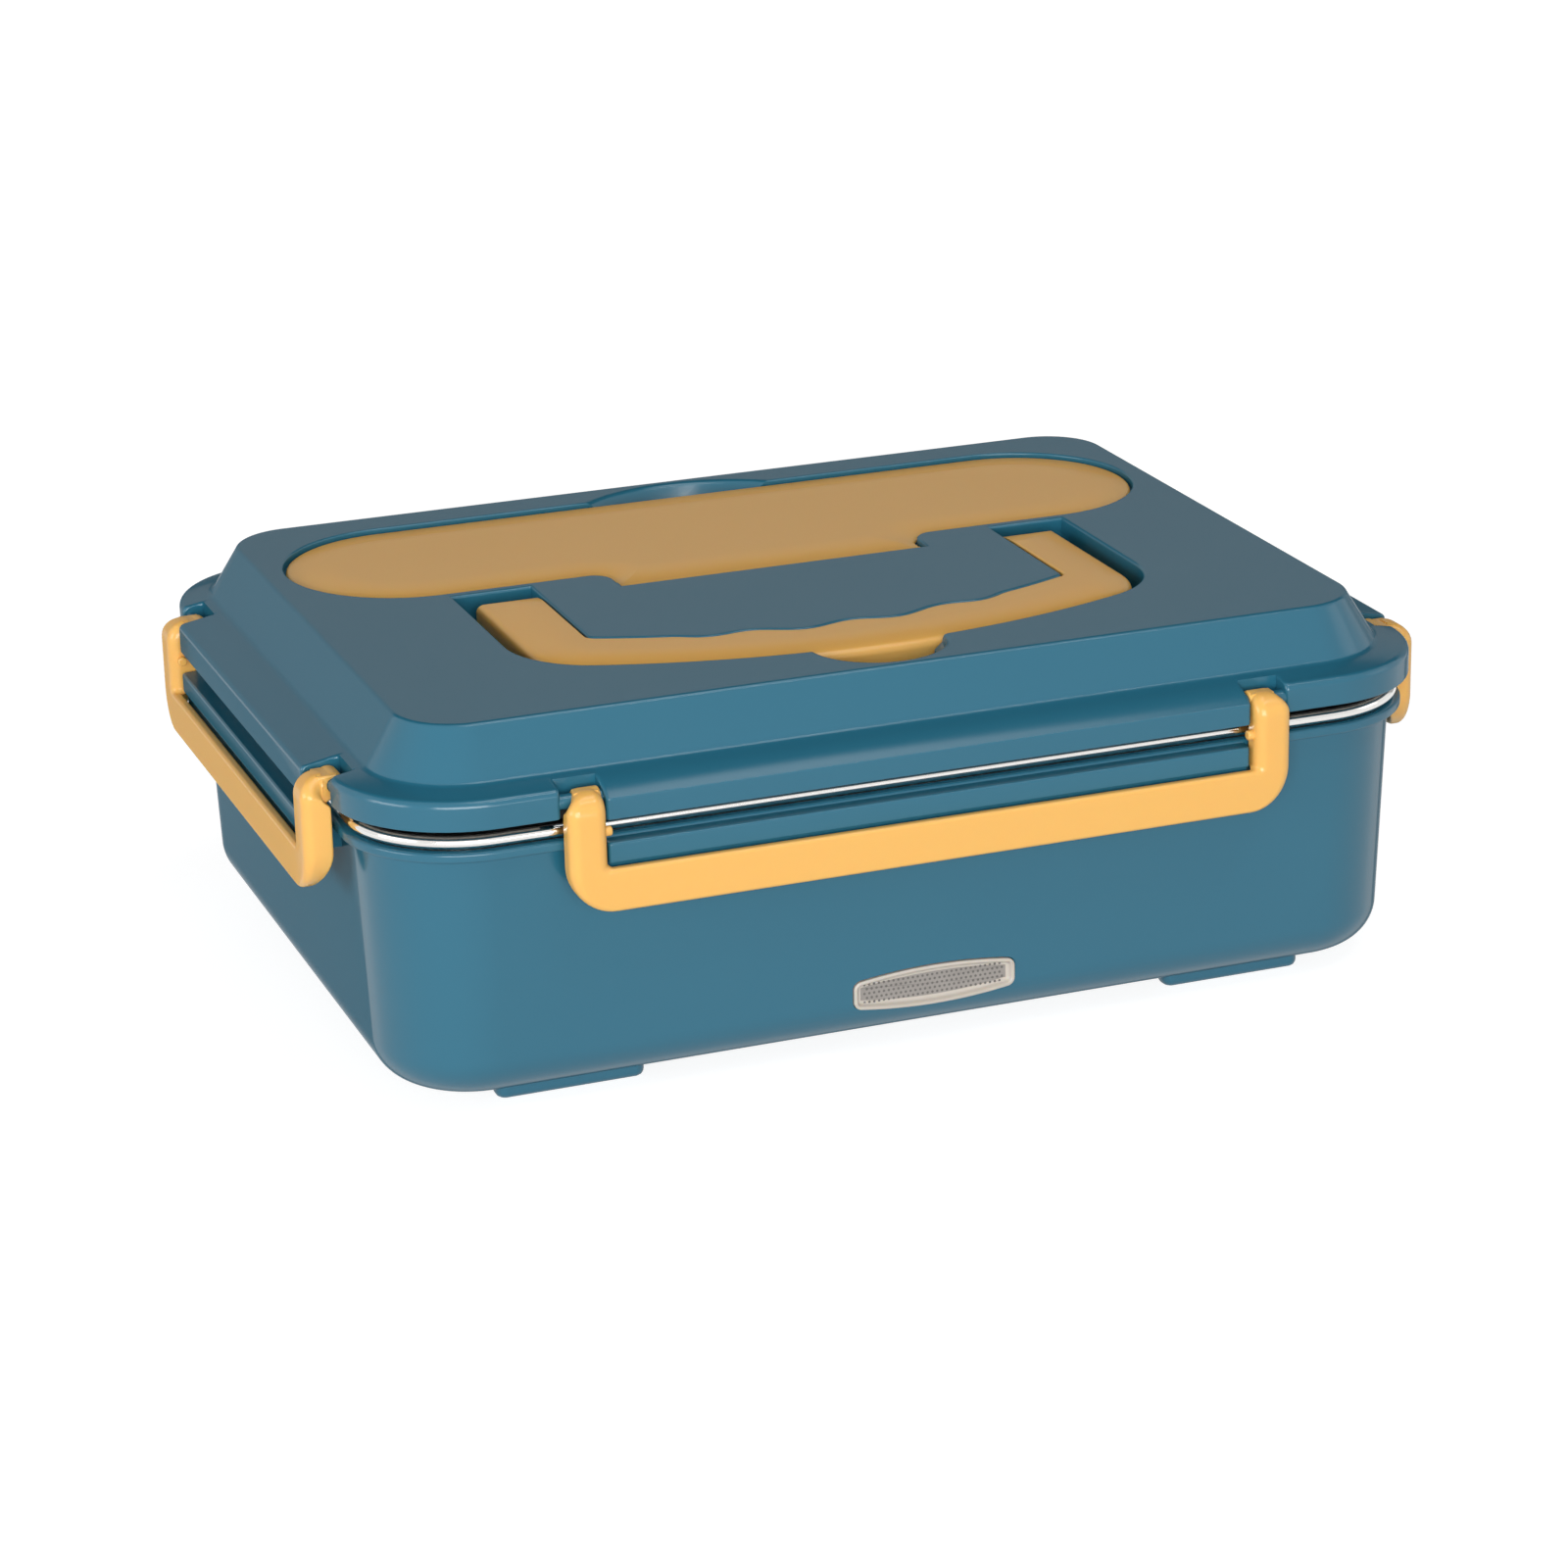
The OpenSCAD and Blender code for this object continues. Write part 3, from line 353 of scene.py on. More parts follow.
def disc(r: float, segments: int) -> Outline:
    """A circle round the origin."""
    return arc(0, 0, r, 0, 360 - 360 / segments, segments - 1)


def twin_bores(plan: Outline, near: float, far: float, y: float, z: float) -> list[Shape]:
    """Cutters for two bores on one line along X, between two distances from the middle."""
    return [along_x(plan, *sorted((s * near, s * far))).moved(0, y, z) for s in (-1, 1)]


class Combine(Enum):
    """How two solids are put together."""

    UNION = "UNION"
    CUT = "DIFFERENCE"
    MEET = "INTERSECT"


def linked(made: bpy.types.Object) -> bpy.types.Object:
    """Puts a new object in the scene."""
    bpy.context.scene.collection.objects.link(made)
    return made


def baked(made: bpy.types.Object) -> bpy.types.Object:
    """Turns an object's modifiers into its mesh.

    Args:
        made: The object, changed in place.

    Returns:
        The object.
    """
    bpy.context.view_layer.update()
    graph = bpy.context.evaluated_depsgraph_get()
    mesh = bpy.data.meshes.new_from_object(made.evaluated_get(graph), depsgraph=graph)
    made.modifiers.clear()
    made.data = mesh
    return made


def combine(made: bpy.types.Object, how: Combine, *solids: Shape | bpy.types.Object) -> None:
    """Combines a piece with other solids, one after another, and uses them up.

    Args:
        made: The piece, changed in place.
        how: What is done with each solid.
        solids: The solids, as shapes or as objects.
    """
    tools = [s.piece(f"{made.name}_tool_{i}") if isinstance(s, Shape) else s
             for i, s in enumerate(solids)]
    for tool in tools:
        step = made.modifiers.new("combine", "BOOLEAN")
        step.operation = how.value
        step.solver = "MANIFOLD"
        step.object = tool
    baked(made)
    for tool in tools:
        bpy.data.objects.remove(tool)


# ---- Finishes ----


def linear(hex_colour: str) -> tuple[float, float, float, float]:
    """A linear colour from an sRGB hex value.

    Args:
        hex_colour: The colour, with its leading #.

    Returns:
        Red, green, blue and alpha.
    """
    parts = [int(hex_colour[i:i + 2], 16) / 255 for i in (1, 3, 5)]
    curve = [c / 12.92 if c <= 0.04045 else ((c + 0.055) / 1.055) ** 2.4 for c in parts]
    return (curve[0], curve[1], curve[2], 1.0)


def add(tree: bpy.types.NodeTree, kind: str, links: dict | None = None,
        values: dict | None = None, **settings: object) -> bpy.types.Node:
    """Adds a node with its settings, socket values and links.

    Args:
        tree: The node tree.
        kind: The node's type.
        links: Sockets that feed it, by input name or number.
        values: Plain values, by input name or number.
        settings: The node's own properties.

    Returns:
        The node.
    """
    node = tree.nodes.new(kind)
    for key, value in settings.items():
        setattr(node, key, value)
    for key, value in (values or {}).items():
        node.inputs[key].default_value = value
    for key, source in (links or {}).items():
        tree.links.new(source, node.inputs[key])
    return node


@dataclass(frozen=True)
class Finish:
    """A finish made from a base colour, a mottling tone, a grain and a brushing direction.

    glancing is the sheen that is left where the surface is seen edge on.
    """

    name: str
    colour: str
    mottle: str
    roughness: float
    roughness_spread: float = 0.06
    metallic: float = 0.0
    ior: float = 1.5
    specular: float = 0.5
    mottle_mm: float = 30.0
    grain_mm: float = 0.6
    grain_depth_mm: float = 0.004
    stretch: Point = (1, 1, 1)
    subsurface: float = 0.0
    coat: float = 0.0
    glancing: float | None = None

    def build(self) -> bpy.types.Material:
        """Makes the material.

        Returns:
            The node material.
        """
        material = bpy.data.materials.new(self.name)
        material.use_nodes = True
        tree = material.node_tree
        shader = tree.nodes["Principled BSDF"]
        place = add(tree, "ShaderNodeTexCoord")
        turned = add(tree, "ShaderNodeMapping", {"Vector": place.outputs["Object"]},
                     {"Scale": self.stretch})
        mottle = add(tree, "ShaderNodeTexNoise", {"Vector": turned.outputs[0]},
                     {"Scale": 1000 / self.mottle_mm, "Detail": 5.0, "Roughness": 0.6})
        colour = add(tree, "ShaderNodeMix", {"Factor": mottle.outputs["Fac"]},
                     {6: linear(self.colour), 7: linear(self.mottle)}, data_type="RGBA")
        grain = add(tree, "ShaderNodeTexNoise", {"Vector": turned.outputs[0]},
                    {"Scale": 1000 / self.grain_mm, "Detail": 3.0, "Roughness": 0.5})
        low, high = self.roughness - self.roughness_spread, self.roughness + self.roughness_spread
        rough = add(tree, "ShaderNodeMapRange", {"Value": mottle.outputs["Fac"]},
                    {"From Min": 0.3, "From Max": 0.7, "To Min": max(0.02, low), "To Max": high})
        bump = add(tree, "ShaderNodeBump", {"Height": grain.outputs["Fac"]},
                   {"Strength": 0.6, "Distance": self.grain_depth_mm * MM})
        tree.links.new(colour.outputs[2], shader.inputs["Base Color"])
        tree.links.new(rough.outputs[0], shader.inputs["Roughness"])
        tree.links.new(bump.outputs[0], shader.inputs["Normal"])
        shader.inputs["Metallic"].default_value = self.metallic
        if not self.metallic:
            shader.inputs["IOR"].default_value = self.ior
            shader.inputs["Specular IOR Level"].default_value = self.specular
        if self.glancing is not None:
            # The fine grain shades itself at a glancing angle, so the sheen fades there
            facing = add(tree, "ShaderNodeLayerWeight", None, {"Blend": 0.5})
            fade = add(tree, "ShaderNodeMapRange", {"Value": facing.outputs["Facing"]},
                       {"From Min": 0.62, "From Max": 0.78,
                        "To Min": self.specular, "To Max": self.glancing})
            tree.links.new(fade.outputs[0], shader.inputs["Specular IOR Level"])
        shader.inputs["Coat Weight"].default_value = self.coat
        if self.subsurface:
            shader.inputs["Subsurface Weight"].default_value = self.subsurface
            shader.inputs["Subsurface Radius"].default_value = (0.004, 0.0015, 0.0005)
            shader.inputs["Subsurface Scale"].default_value = 1.0
        return material

    def material(self) -> bpy.types.Material:
        """The finish's material, made once."""
        return bpy.data.materials.get(self.name) or self.build()


# Etched mesh behind the milky rim: a fine warm grey net
GRILLE = Finish("etched_grille_mesh", "#9F9A95", "#8F8A85", 0.45, mottle_mm=3, grain_mm=0.3,
                grain_depth_mm=0.02)
# The mesh's holes as flat discs in a darker grey: painted shade that stands for the lens seen through
# them
PAINTED_HOLE_SHADE = Finish("etched_grille_hole", "#6E6A66", "#66625F", 0.6, grain_mm=0.3)


class Slot(Enum):
    """The record's material slots, each with the finish that it wears."""

    # Satin polypropylene: an even dyed colour with a soft sheen from the polished mould
    TEAL_PLASTIC = Finish("moulded_polypropylene_teal", "#286980", "#27677F", 0.18, 0.01,
                          specular=0.45, grain_mm=0.8, grain_depth_mm=0.0012, glancing=0.006)
    # The same plastic in amber: light goes a little way in, so its shaded walls turn orange
    AMBER_PLASTIC = Finish("moulded_polypropylene_amber", "#F5BB63", "#F3B962", 0.2, 0.01,
                           specular=0.4, grain_mm=0.8, grain_depth_mm=0.0012, subsurface=0.12,
                           glancing=0.006)
    # Mirror-polished stainless steel: bright, with faint lines from the polishing wheel
    POLISHED_STEEL = Finish("polished_stainless_steel", "#E6E5E2", "#DEDDDA", 0.12, 0.03, 1.0,
                            grain_mm=0.5, grain_depth_mm=0.001, mottle_mm=12)
    # Drawn stainless sheet: a dull grey sheen that is smeared along the draw
    STAINLESS_SHEET = Finish("drawn_stainless_sheet", "#C9C9C7", "#C4C4C2", 0.3, 0.015, 1.0,
                             stretch=(1, 1, 6), grain_mm=1.2, grain_depth_mm=0.002)
    # Zinc-plated steel: a cool bright grey with a slight cloudiness
    SCREW_STEEL = Finish("zinc_plated_steel", "#C4C6CA", "#A9ADB4", 0.3, 0.08, 1.0, mottle_mm=3)
    # Bright spring steel: rolled strip with fine lengthwise lines
    SPRING_STEEL = Finish("rolled_spring_steel", "#BFC0C2", "#A8A9AB", 0.28, 0.06, 1.0,
                          stretch=(1, 8, 8), grain_mm=1.0)
    # Pressed aluminium: pale and matt, with a coarse rolled grain
    CAST_ALUMINIUM = Finish("pressed_aluminium", "#D2D4D6", "#C2C5C8", 0.42, 0.08, 1.0,
                            stretch=(1, 5, 5), grain_mm=1.5, grain_depth_mm=0.01)
    # Glazed ceramic: cream, glossy, with faint pooling in the glaze
    CERAMIC_FUSE = Finish("glazed_ceramic", "#E8E0CC", "#DDD3BB", 0.18, mottle_mm=4, coat=0.4)
    # Moulded nylon: near black with the fine grain of a spark-eroded mould
    BLACK_PLASTIC = Finish("moulded_nylon_black", "#1B1B1D", "#242426", 0.5, 0.08, grain_mm=0.5,
                           grain_depth_mm=0.02)
    # Plated brass: warm and bright with a little tarnish
    BRASS_PIN = Finish("plated_brass", "#E2C67A", "#C9A552", 0.24, 0.08, 1.0, mottle_mm=4)
    # Milky lens plastic: a warm pale grey that lets the lamp behind it glow through
    MILKY_LENS = Finish("milky_polycarbonate", "#CFC6BC", "#C6BCB0", 0.4, grain_mm=0.4,
                        grain_depth_mm=0.006, subsurface=0.15, mottle_mm=8)
    # Lacquered circuit board: green resin over a woven glass mat
    CIRCUIT_BOARD = Finish("lacquered_circuit_board", "#2A6B3C", "#235A33", 0.35, mottle_mm=2,
                           grain_mm=0.7, grain_depth_mm=0.02, coat=0.3)
    # Tinted epoxy: a glossy red bead
    LED_LENS = Finish("tinted_epoxy", "#D24A2A", "#C23F22", 0.12, 0.03, mottle_mm=3)
    # Silicone insulation: dull red with a dry skin
    LEAD_RUBBER = Finish("silicone_lead_red", "#B32A1F", "#A3241A", 0.55, grain_mm=0.5,
                         grain_depth_mm=0.01)
    # White polypropylene: slightly warm, with a silky mould finish
    WHITE_PLASTIC = Finish("moulded_polypropylene_white", "#E9E8E2", "#E3E1DA", 0.42, grain_mm=0.6,
                           grain_depth_mm=0.006)
    # Clear-white silicone: cloudy and soft, with no sharp gloss
    SILICONE = Finish("moulded_silicone_white", "#DEDDD8", "#D3D2CC", 0.5, subsurface=0.2,
                      grain_mm=0.5, grain_depth_mm=0.01)
    # Seal silicone coloured near black as painted shade: the dark stands for the shade in the gap under
    # the lid's flange
    BLACK_SILICONE = Finish("moulded_silicone_black", "#202022", "#29292B", 0.6, grain_mm=0.5,
                            grain_depth_mm=0.01)

    @property
    def key(self) -> str:
        """The slot's name in the record."""
        return self.name.lower()

    def material(self) -> bpy.types.Material:
        """The slot's material, made once."""
        return self.value.material()


def smoothed(made: bpy.types.Object) -> bpy.types.Object:
    """Shades a mesh smoothly, with its real creases kept and its flats flat.

    Args:
        made: The piece.

    Returns:
        The piece.
    """
    mesh = made.data
    mesh.shade_smooth()
    mesh.set_sharp_from_angle(angle=math.radians(CREASE))
    weight = made.modifiers.new("weights", "WEIGHTED_NORMAL")
    weight.keep_sharp = True
    weight.weight = 60
    return baked(made)


def dress(made: bpy.types.Object, slot: Slot, body: str, *nodes: str,
          finish: Finish | None = None) -> None:
    """Shades a piece, gives it its finish and its body, and hides the CAD nodes that it stands for.

    Args:
        made: The piece.
        slot: The finish.
        body: The CAD body that carries it.
        nodes: CAD nodes that it replaces.
        finish: The finish that it wears instead of its slot's own.
    """
    smoothed(made)
    made.data.materials.clear()
    made.data.materials.append(finish.material() if finish else slot.material())
    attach(made, body)
    slot.key
    if nodes:
        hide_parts(*nodes)
    log.info("%s: %d faces on %s", made.name, len(made.data.polygons), body)


# ---- Copies ----


class CopyGrid:
    """A node tree that sets copies of one part on a flat grid."""

    SIZES = (("Columns", "NodeSocketInt", 2), ("Rows", "NodeSocketInt", 2),
             ("Pitch X", "NodeSocketFloat", 0.01), ("Pitch Y", "NodeSocketFloat", 0.01),
             ("Stagger", "NodeSocketFloat", 0.0), ("Centre", "NodeSocketVector", (0.0, 0.0, 0.0)),
             ("Turn", "NodeSocketVector", (0.0, 0.0, 0.0)), ("Part", "NodeSocketObject", None),
             ("Finish", "NodeSocketMaterial", None))

    def __init__(self) -> None:
        """Builds the tree."""
        tree = bpy.data.node_groups.new("copies_on_a_grid", "GeometryNodeTree")
        self.tree = tree
        for name, kind, value in self.SIZES:
            socket = tree.interface.new_socket(name, in_out="INPUT", socket_type=kind)
            if value is not None:
                socket.default_value = value
        tree.interface.new_socket("Geometry", in_out="OUTPUT", socket_type="NodeSocketGeometry")
        given = add(tree, "NodeGroupInput").outputs

        def maths(operation: str, a: object, b: object) -> bpy.types.NodeSocket:
            """A math node's result for two sockets or numbers.

            Args:
                operation: The node's operation.
                a: First socket or number.
                b: Second socket or number.

            Returns:
                The node's output.
            """
            pair = {0: a, 1: b}
            links = {k: v for k, v in pair.items() if isinstance(v, bpy.types.NodeSocket)}
            values = {k: v for k, v in pair.items() if k not in links}
            return add(tree, "ShaderNodeMath", links, values, operation=operation).outputs[0]

        count = maths("MULTIPLY", given["Columns"], given["Rows"])
        points = add(tree, "GeometryNodePoints", {"Count": count})
        number = add(tree, "GeometryNodeInputIndex").outputs[0]
        row = maths("FLOOR", maths("DIVIDE", maths("ADD", number, 0.5), given["Columns"]), 0.0)
        column = maths("SUBTRACT", number, maths("MULTIPLY", row, given["Columns"]))
        odd = maths("SUBTRACT", maths("MODULO", row, 2.0), 0.5)
        middle_x = maths("MULTIPLY", maths("SUBTRACT", given["Columns"], 1.0), 0.5)
        middle_y = maths("MULTIPLY", maths("SUBTRACT", given["Rows"], 1.0), 0.5)
        x = maths("ADD", maths("MULTIPLY", maths("SUBTRACT", column, middle_x), given["Pitch X"]),
                  maths("MULTIPLY", odd, given["Stagger"]))
        y = maths("MULTIPLY", maths("SUBTRACT", row, middle_y), given["Pitch Y"])
        spot = add(tree, "ShaderNodeCombineXYZ", {"X": x, "Y": y})
        spread = add(tree, "GeometryNodeSetPosition",
                     {"Geometry": points.outputs[0], "Position": spot.outputs[0]})
        part = add(tree, "GeometryNodeObjectInfo", {"Object": given["Part"]})
        copies = add(tree, "GeometryNodeInstanceOnPoints",
                     {"Points": spread.outputs[0], "Instance": part.outputs["Geometry"]})
        moved = add(tree, "GeometryNodeTransform", {"Geometry": copies.outputs[0],
                                                    "Translation": given["Centre"],
                                                    "Rotation": given["Turn"]})
        real = add(tree, "GeometryNodeRealizeInstances", {"Geometry": moved.outputs[0]})
        dressed = add(tree, "GeometryNodeSetMaterial",
                      {"Geometry": real.outputs[0], "Material": given["Finish"]})
        add(tree, "NodeGroupOutput", {"Geometry": dressed.outputs[0]})

    def make(self, name: str, part: Shape, slot: Slot, **sizes: object) -> bpy.types.Object:
        """Sets out the copies and bakes them into one mesh.

        Args:
            name: Name of the new piece.
            part: The part to copy, in millimetres.
            slot: The copies' finish.
            sizes: Values of the tree's inputs, named with _ for a space.

        Returns:
            The baked piece.
        """
        pattern = smoothed(part.piece(f"{name}_pattern"))
        holder = linked(bpy.data.objects.new(name, bpy.data.meshes.new(name)))
        modifier = holder.modifiers.new("copies", "NODES")
        modifier.node_group = self.tree
        wanted = {"Part": pattern, "Finish": slot.material(),
                  **{key.replace("_", " "): value for key, value in sizes.items()}}
        for socket in self.tree.interface.items_tree:
            if socket.in_out == "INPUT" and socket.name in wanted:
                modifier[socket.identifier] = wanted[socket.name]
        baked(holder)
        bpy.data.objects.remove(pattern)
        return holder


# ---- The rounded rectangle that every rim follows ----


@dataclass(frozen=True)
class ArmPlan:
    """Where the latch arms stand on one pair of sides, and the band between them."""

    half: float
    arm: float
    reach: float
    band_r: float


LONG_SIDES = ArmPlan(half=76.5, arm=7.8, reach=5.8, band_r=27.95)
SHORT_SIDES = ArmPlan(half=59.5, arm=8.5, reach=7.3, band_r=29.45)
# The latch shafts' line: how far out from the corner centres it runs, and its height
SHAFT_IN = 24.45
SHAFT_Z = 64.9


@dataclass
class Profile:
    """A section of a rim: radii from the corner centres, and heights.

    bulk orders neighbours: the bulkier one keeps the material, so its end edge is rounded.
    """

    points: Outline
    bulk: int = 1


@dataclass
class Zone:
    """A section that holds within a reach of a side's middle."""

    reach: float
    profile: Profile


@dataclass
class Rim:
    """The box's plan: four sides, numbered back, left, front, right, round four corner centres."""

    corner_x: float = 89.0
    corner_y: float = 60.0
    ring_r: float = 25.0
    arc_steps: int = 14

    def half(self, side: int) -> float:
        """Distance from a side's middle to its corner centres."""
        return self.corner_x if side % 2 == 0 else self.corner_y

    def out(self, side: int) -> float:
        """Distance from the box's middle out to a side's corner centres."""
        return self.half(side + 1)

    def arms(self, side: int) -> ArmPlan:
        """Where a side's latch arms stand."""
        return LONG_SIDES if side % 2 == 0 else SHORT_SIDES

    def turn(self, side: int) -> Matrix:
        """Turns from the side numbered 0 to another."""
        return Matrix.Rotation(math.radians(90 * side), 4, "Z")

    def place(self, side: int, u: float) -> tuple[Vector, Vector]:
        """Where a section stands.

        Args:
            side: The side's number.
            u: Distance along the rim from the side's middle, positive towards the side's own +X.

        Returns:
            The point at radius zero, and the outward direction.
        """
        half = self.half(side)
        over = max(0.0, abs(u) - half) / self.ring_r * (1 if u > 0 else -1)
        local = Vector((max(-half, min(half, u)), self.out(side)))
        heading = Vector((math.sin(over), math.cos(over)))
        turn = Matrix.Rotation(math.radians(90 * side), 2)
        return turn @ local, turn @ heading

    def section(self, zones: Sequence[Zone], u: float, outer: bool, edge: float) -> Outline:
        """A section's points, eased into its less bulky neighbour near their border.

        Args:
            zones: The side's zones, from its middle outward.
            u: Distance from the side's middle.
            outer: At a border, whether the outer zone is meant.
            edge: Radius of the end edges.

        Returns:
            The section's points.
        """
        d = abs(u)
        k = next(i for i, z in enumerate(zones)
                 if d < z.reach - 1e-6 or (abs(d - z.reach) <= 1e-6 and not outer))
        points = zones[k].profile.points
        for other in (k - 1, k + 1):
            if not 0 <= other < len(zones):
                continue
            border = zones[min(k, other)].reach
            if zones[other].profile.bulk >= zones[k].profile.bulk or abs(d - border) >= edge:
                continue
            shift = edge - math.sqrt(edge ** 2 - (edge - abs(d - border)) ** 2)
            moved = []
            for p, q in zip(points, zones[other].profile.points):
                gap = math.dist(p, q)
                share = min(shift / gap, 0.45) if gap > 1e-6 else 0
                moved.append((p[0] + (q[0] - p[0]) * share, p[1] + (q[1] - p[1]) * share))
            points = moved
        return points

    def stations(self, side: int, zones: Sequence[Zone], edge: float) -> list[tuple[float, bool]]:
        """Distances at which one side needs a section, from its +X end to its -X end.

        Args:
            side: The side's number.
            zones: Its zones, from its middle outward.
            edge: Radius of the end edges.

        Returns:
            (distance, whether the outer zone is meant) pairs.
        """
        half = self.half(side)
        end = half + self.ring_r * math.pi / 4
        reach = [half + (end - half) * i / self.arc_steps for i in range(self.arc_steps + 1)]
        found = {(round(u, 5), True) for u in reach}
        for zone in zones[:-1]:
            found |= {(zone.reach, False), (zone.reach, True)}
            for angle in (0, 22.5, 45, 67.5):
                gap = edge * (1 - math.sin(math.radians(angle)))
                found |= {(round(zone.reach + s * gap, 5), True) for s in (-1, 1)}
        right = sorted(found, key=lambda item: (item[0], item[1]))
        left = [(-u, outer) for u, outer in right]
        return list(reversed(right)) + left[:-1]

    def sweep(self, zones_of: Callable[[int], Sequence[Zone]], closed: bool,
              edge: float = 0.8) -> Shape:
        """Runs sections round the whole rim.

        Args:
            zones_of: Gives each side's zones.
            closed: Whether the section is a closed loop, and not open with a cap at each end.
            edge: Radius of the end edges between zones.

        Returns:
            The solid.
        """
        shape = Shape()
        rows = []
        for side in range(4):
            zones = zones_of(side)
            for u, outer in self.stations(side, zones, edge):
                base, out = self.place(side, u)
                points = self.section(zones, u, outer, edge)
                rows.append(shape.ring([(base.x + out.x * r, base.y + out.y * r, z)
                                        for r, z in points]))
        for row, after in zip(rows, rows[1:] + rows[:1]):
            shape.bridge(row, after, closed)
        if not closed:
            shape.faces.append(tuple(row[0] for row in rows))
            shape.faces.append(tuple(row[-1] for row in reversed(rows)))
        return shape

    def plain(self, points: Outline, closed: bool) -> Shape:
        """Runs one section round the whole rim."""
        return self.sweep(lambda side: [Zone(math.inf, Profile(points))], closed)


RIM = Rim()

# Slope of the chamber's and the container's drawn walls, in degrees
DRAFT = 2.0


# ---- Latches ----


@dataclass
class Latch:
    """A swing latch: a bar between two arms that curl over their shafts.

    Its own frame has X along the bar, Y outward from the shafts and Z up. half is half of its
    length, arm an arm's width and out how far its face stands outside the shafts.
    """

    node: str
    side: int
    half: float = field(init=False)
    arm: float = field(init=False)
    out: float = field(init=False)
    bar_top: float = -13.1
    bar_foot: float = -21.9
    arm_t: float = 4.5
    bar_t: float = 2.0
    corner_r: float = 9.0
    inner_r: float = 0.9
    face_r: float = 2.3
    thicker: float = 1.5
    tip_out: float = 4.4
    tip_in: float = 1.5
    curl_r: float = 4.5
    curl_z: float = -2.2
    curl_turn: float = 97.0
    knuckle_r: float = 2.25
    bore_r: float = 1.58
    bore_half: float = 1.1
    stub: float = 10.0

    def __post_init__(self) -> None:
        """Takes the sizes that depend on the side."""
        plan = RIM.arms(self.side)
        self.half, self.arm, self.out = plan.half, plan.arm, plan.reach

    def frame(self) -> Matrix:
        """The latch frame's place in the box's frame."""
        return RIM.turn(self.side) @ Matrix.Translation((0, RIM.out(self.side) + SHAFT_IN, SHAFT_Z))

    def section(self, inner: Vector, outer: Vector, thick: float, face: float) -> list[Point]:
        """One cross-section, with a softly rounded face and small back edges.

        Args:
            inner: The section's inner end, in X and Z.
            outer: Its outer end.
            thick: Its thickness from the face back.
            face: Radius of the face's edges.

        Returns:
            The section's points.
        """
        width = (outer - inner).length
        across = (outer - inner) / width
        face, back = min(face, width / 2 - 0.1), min(0.5, width / 2 - 0.1)
        loop = arc(face, face, face, 180, 270, 7) + arc(width - face, face, face, -90, 0, 7)
        loop += arc(width - back, thick - back, back, 0, 90, 3)
        loop += arc(back, thick - back, back, 90, 180, 3)
        return [(inner.x + across.x * a, self.out - b, inner.y + across.y * a) for a, b in loop]

    def bent(self, point: Point) -> Point:
        """Rolls a point above the curl's centre round it.

        Args:
            point: The point, in the latch's frame.

        Returns:
            The point in its rolled place.
        """
        x, y, z = point
        if z <= self.curl_z:
            return point
        centre_y = self.out - self.arm_t
        turn, r = (z - self.curl_z) / self.curl_r, y - centre_y
        return (x, centre_y + r * math.cos(turn), self.curl_z + r * math.sin(turn))

    def half_sections(self) -> list[list[Point]]:
        """Sections from the curled end of the +X arm to the middle of the bar.

        Returns:
            The sections, each with as many points.
        """
        arm_in = self.half - self.arm
        length = self.curl_r * math.radians(self.curl_turn)
        slim = self.arm_t - 0.15
        # The back of the arm stays 1.12 outside the shafts' line, clear of the lid and the base
        full = slim + min(self.thicker, self.out - slim - 1.12)
        curl_rows, grow_rows, corner_rows = 28, 4, 14
        rows = []
        for i in range(curl_rows + grow_rows + 1):
            left = length * (i / curl_rows) ** 1.5
            z = self.curl_z + length - left
            below = self.curl_r * (1 - math.sin((length - left) / self.curl_r)) + 0.9
            cut_in, cut_out = (r - math.sqrt(r ** 2 - max(0.0, r - below) ** 2)
                               for r in (self.tip_in, self.tip_out))
            thick = slim + (full - slim) * eased(max(0.0, (i - curl_rows) / grow_rows))
            rows.append((Vector((arm_in + cut_in, z)), Vector((self.half - cut_out, z)),
                         thick, self.face_r))
        corner_in = arc(arm_in - self.inner_r, self.bar_top + self.inner_r, self.inner_r,
                        0, -90, corner_rows)
        corner_out = arc(self.half - self.corner_r, self.bar_foot + self.corner_r, self.corner_r,
                         0, -90, corner_rows)
        for i, (p, q) in enumerate(zip(corner_in, corner_out)):
            ease = eased(i / corner_rows)
            rows.append((Vector(p), Vector(q), full + (self.bar_t - full) * ease,
                         self.face_r - 1.5 * ease))
        rows.append((Vector((self.stub, self.bar_top)), Vector((self.stub, self.bar_foot)),
                     self.bar_t, 0.8))
        return [[self.bent(p) for p in self.section(*row)] for row in rows]

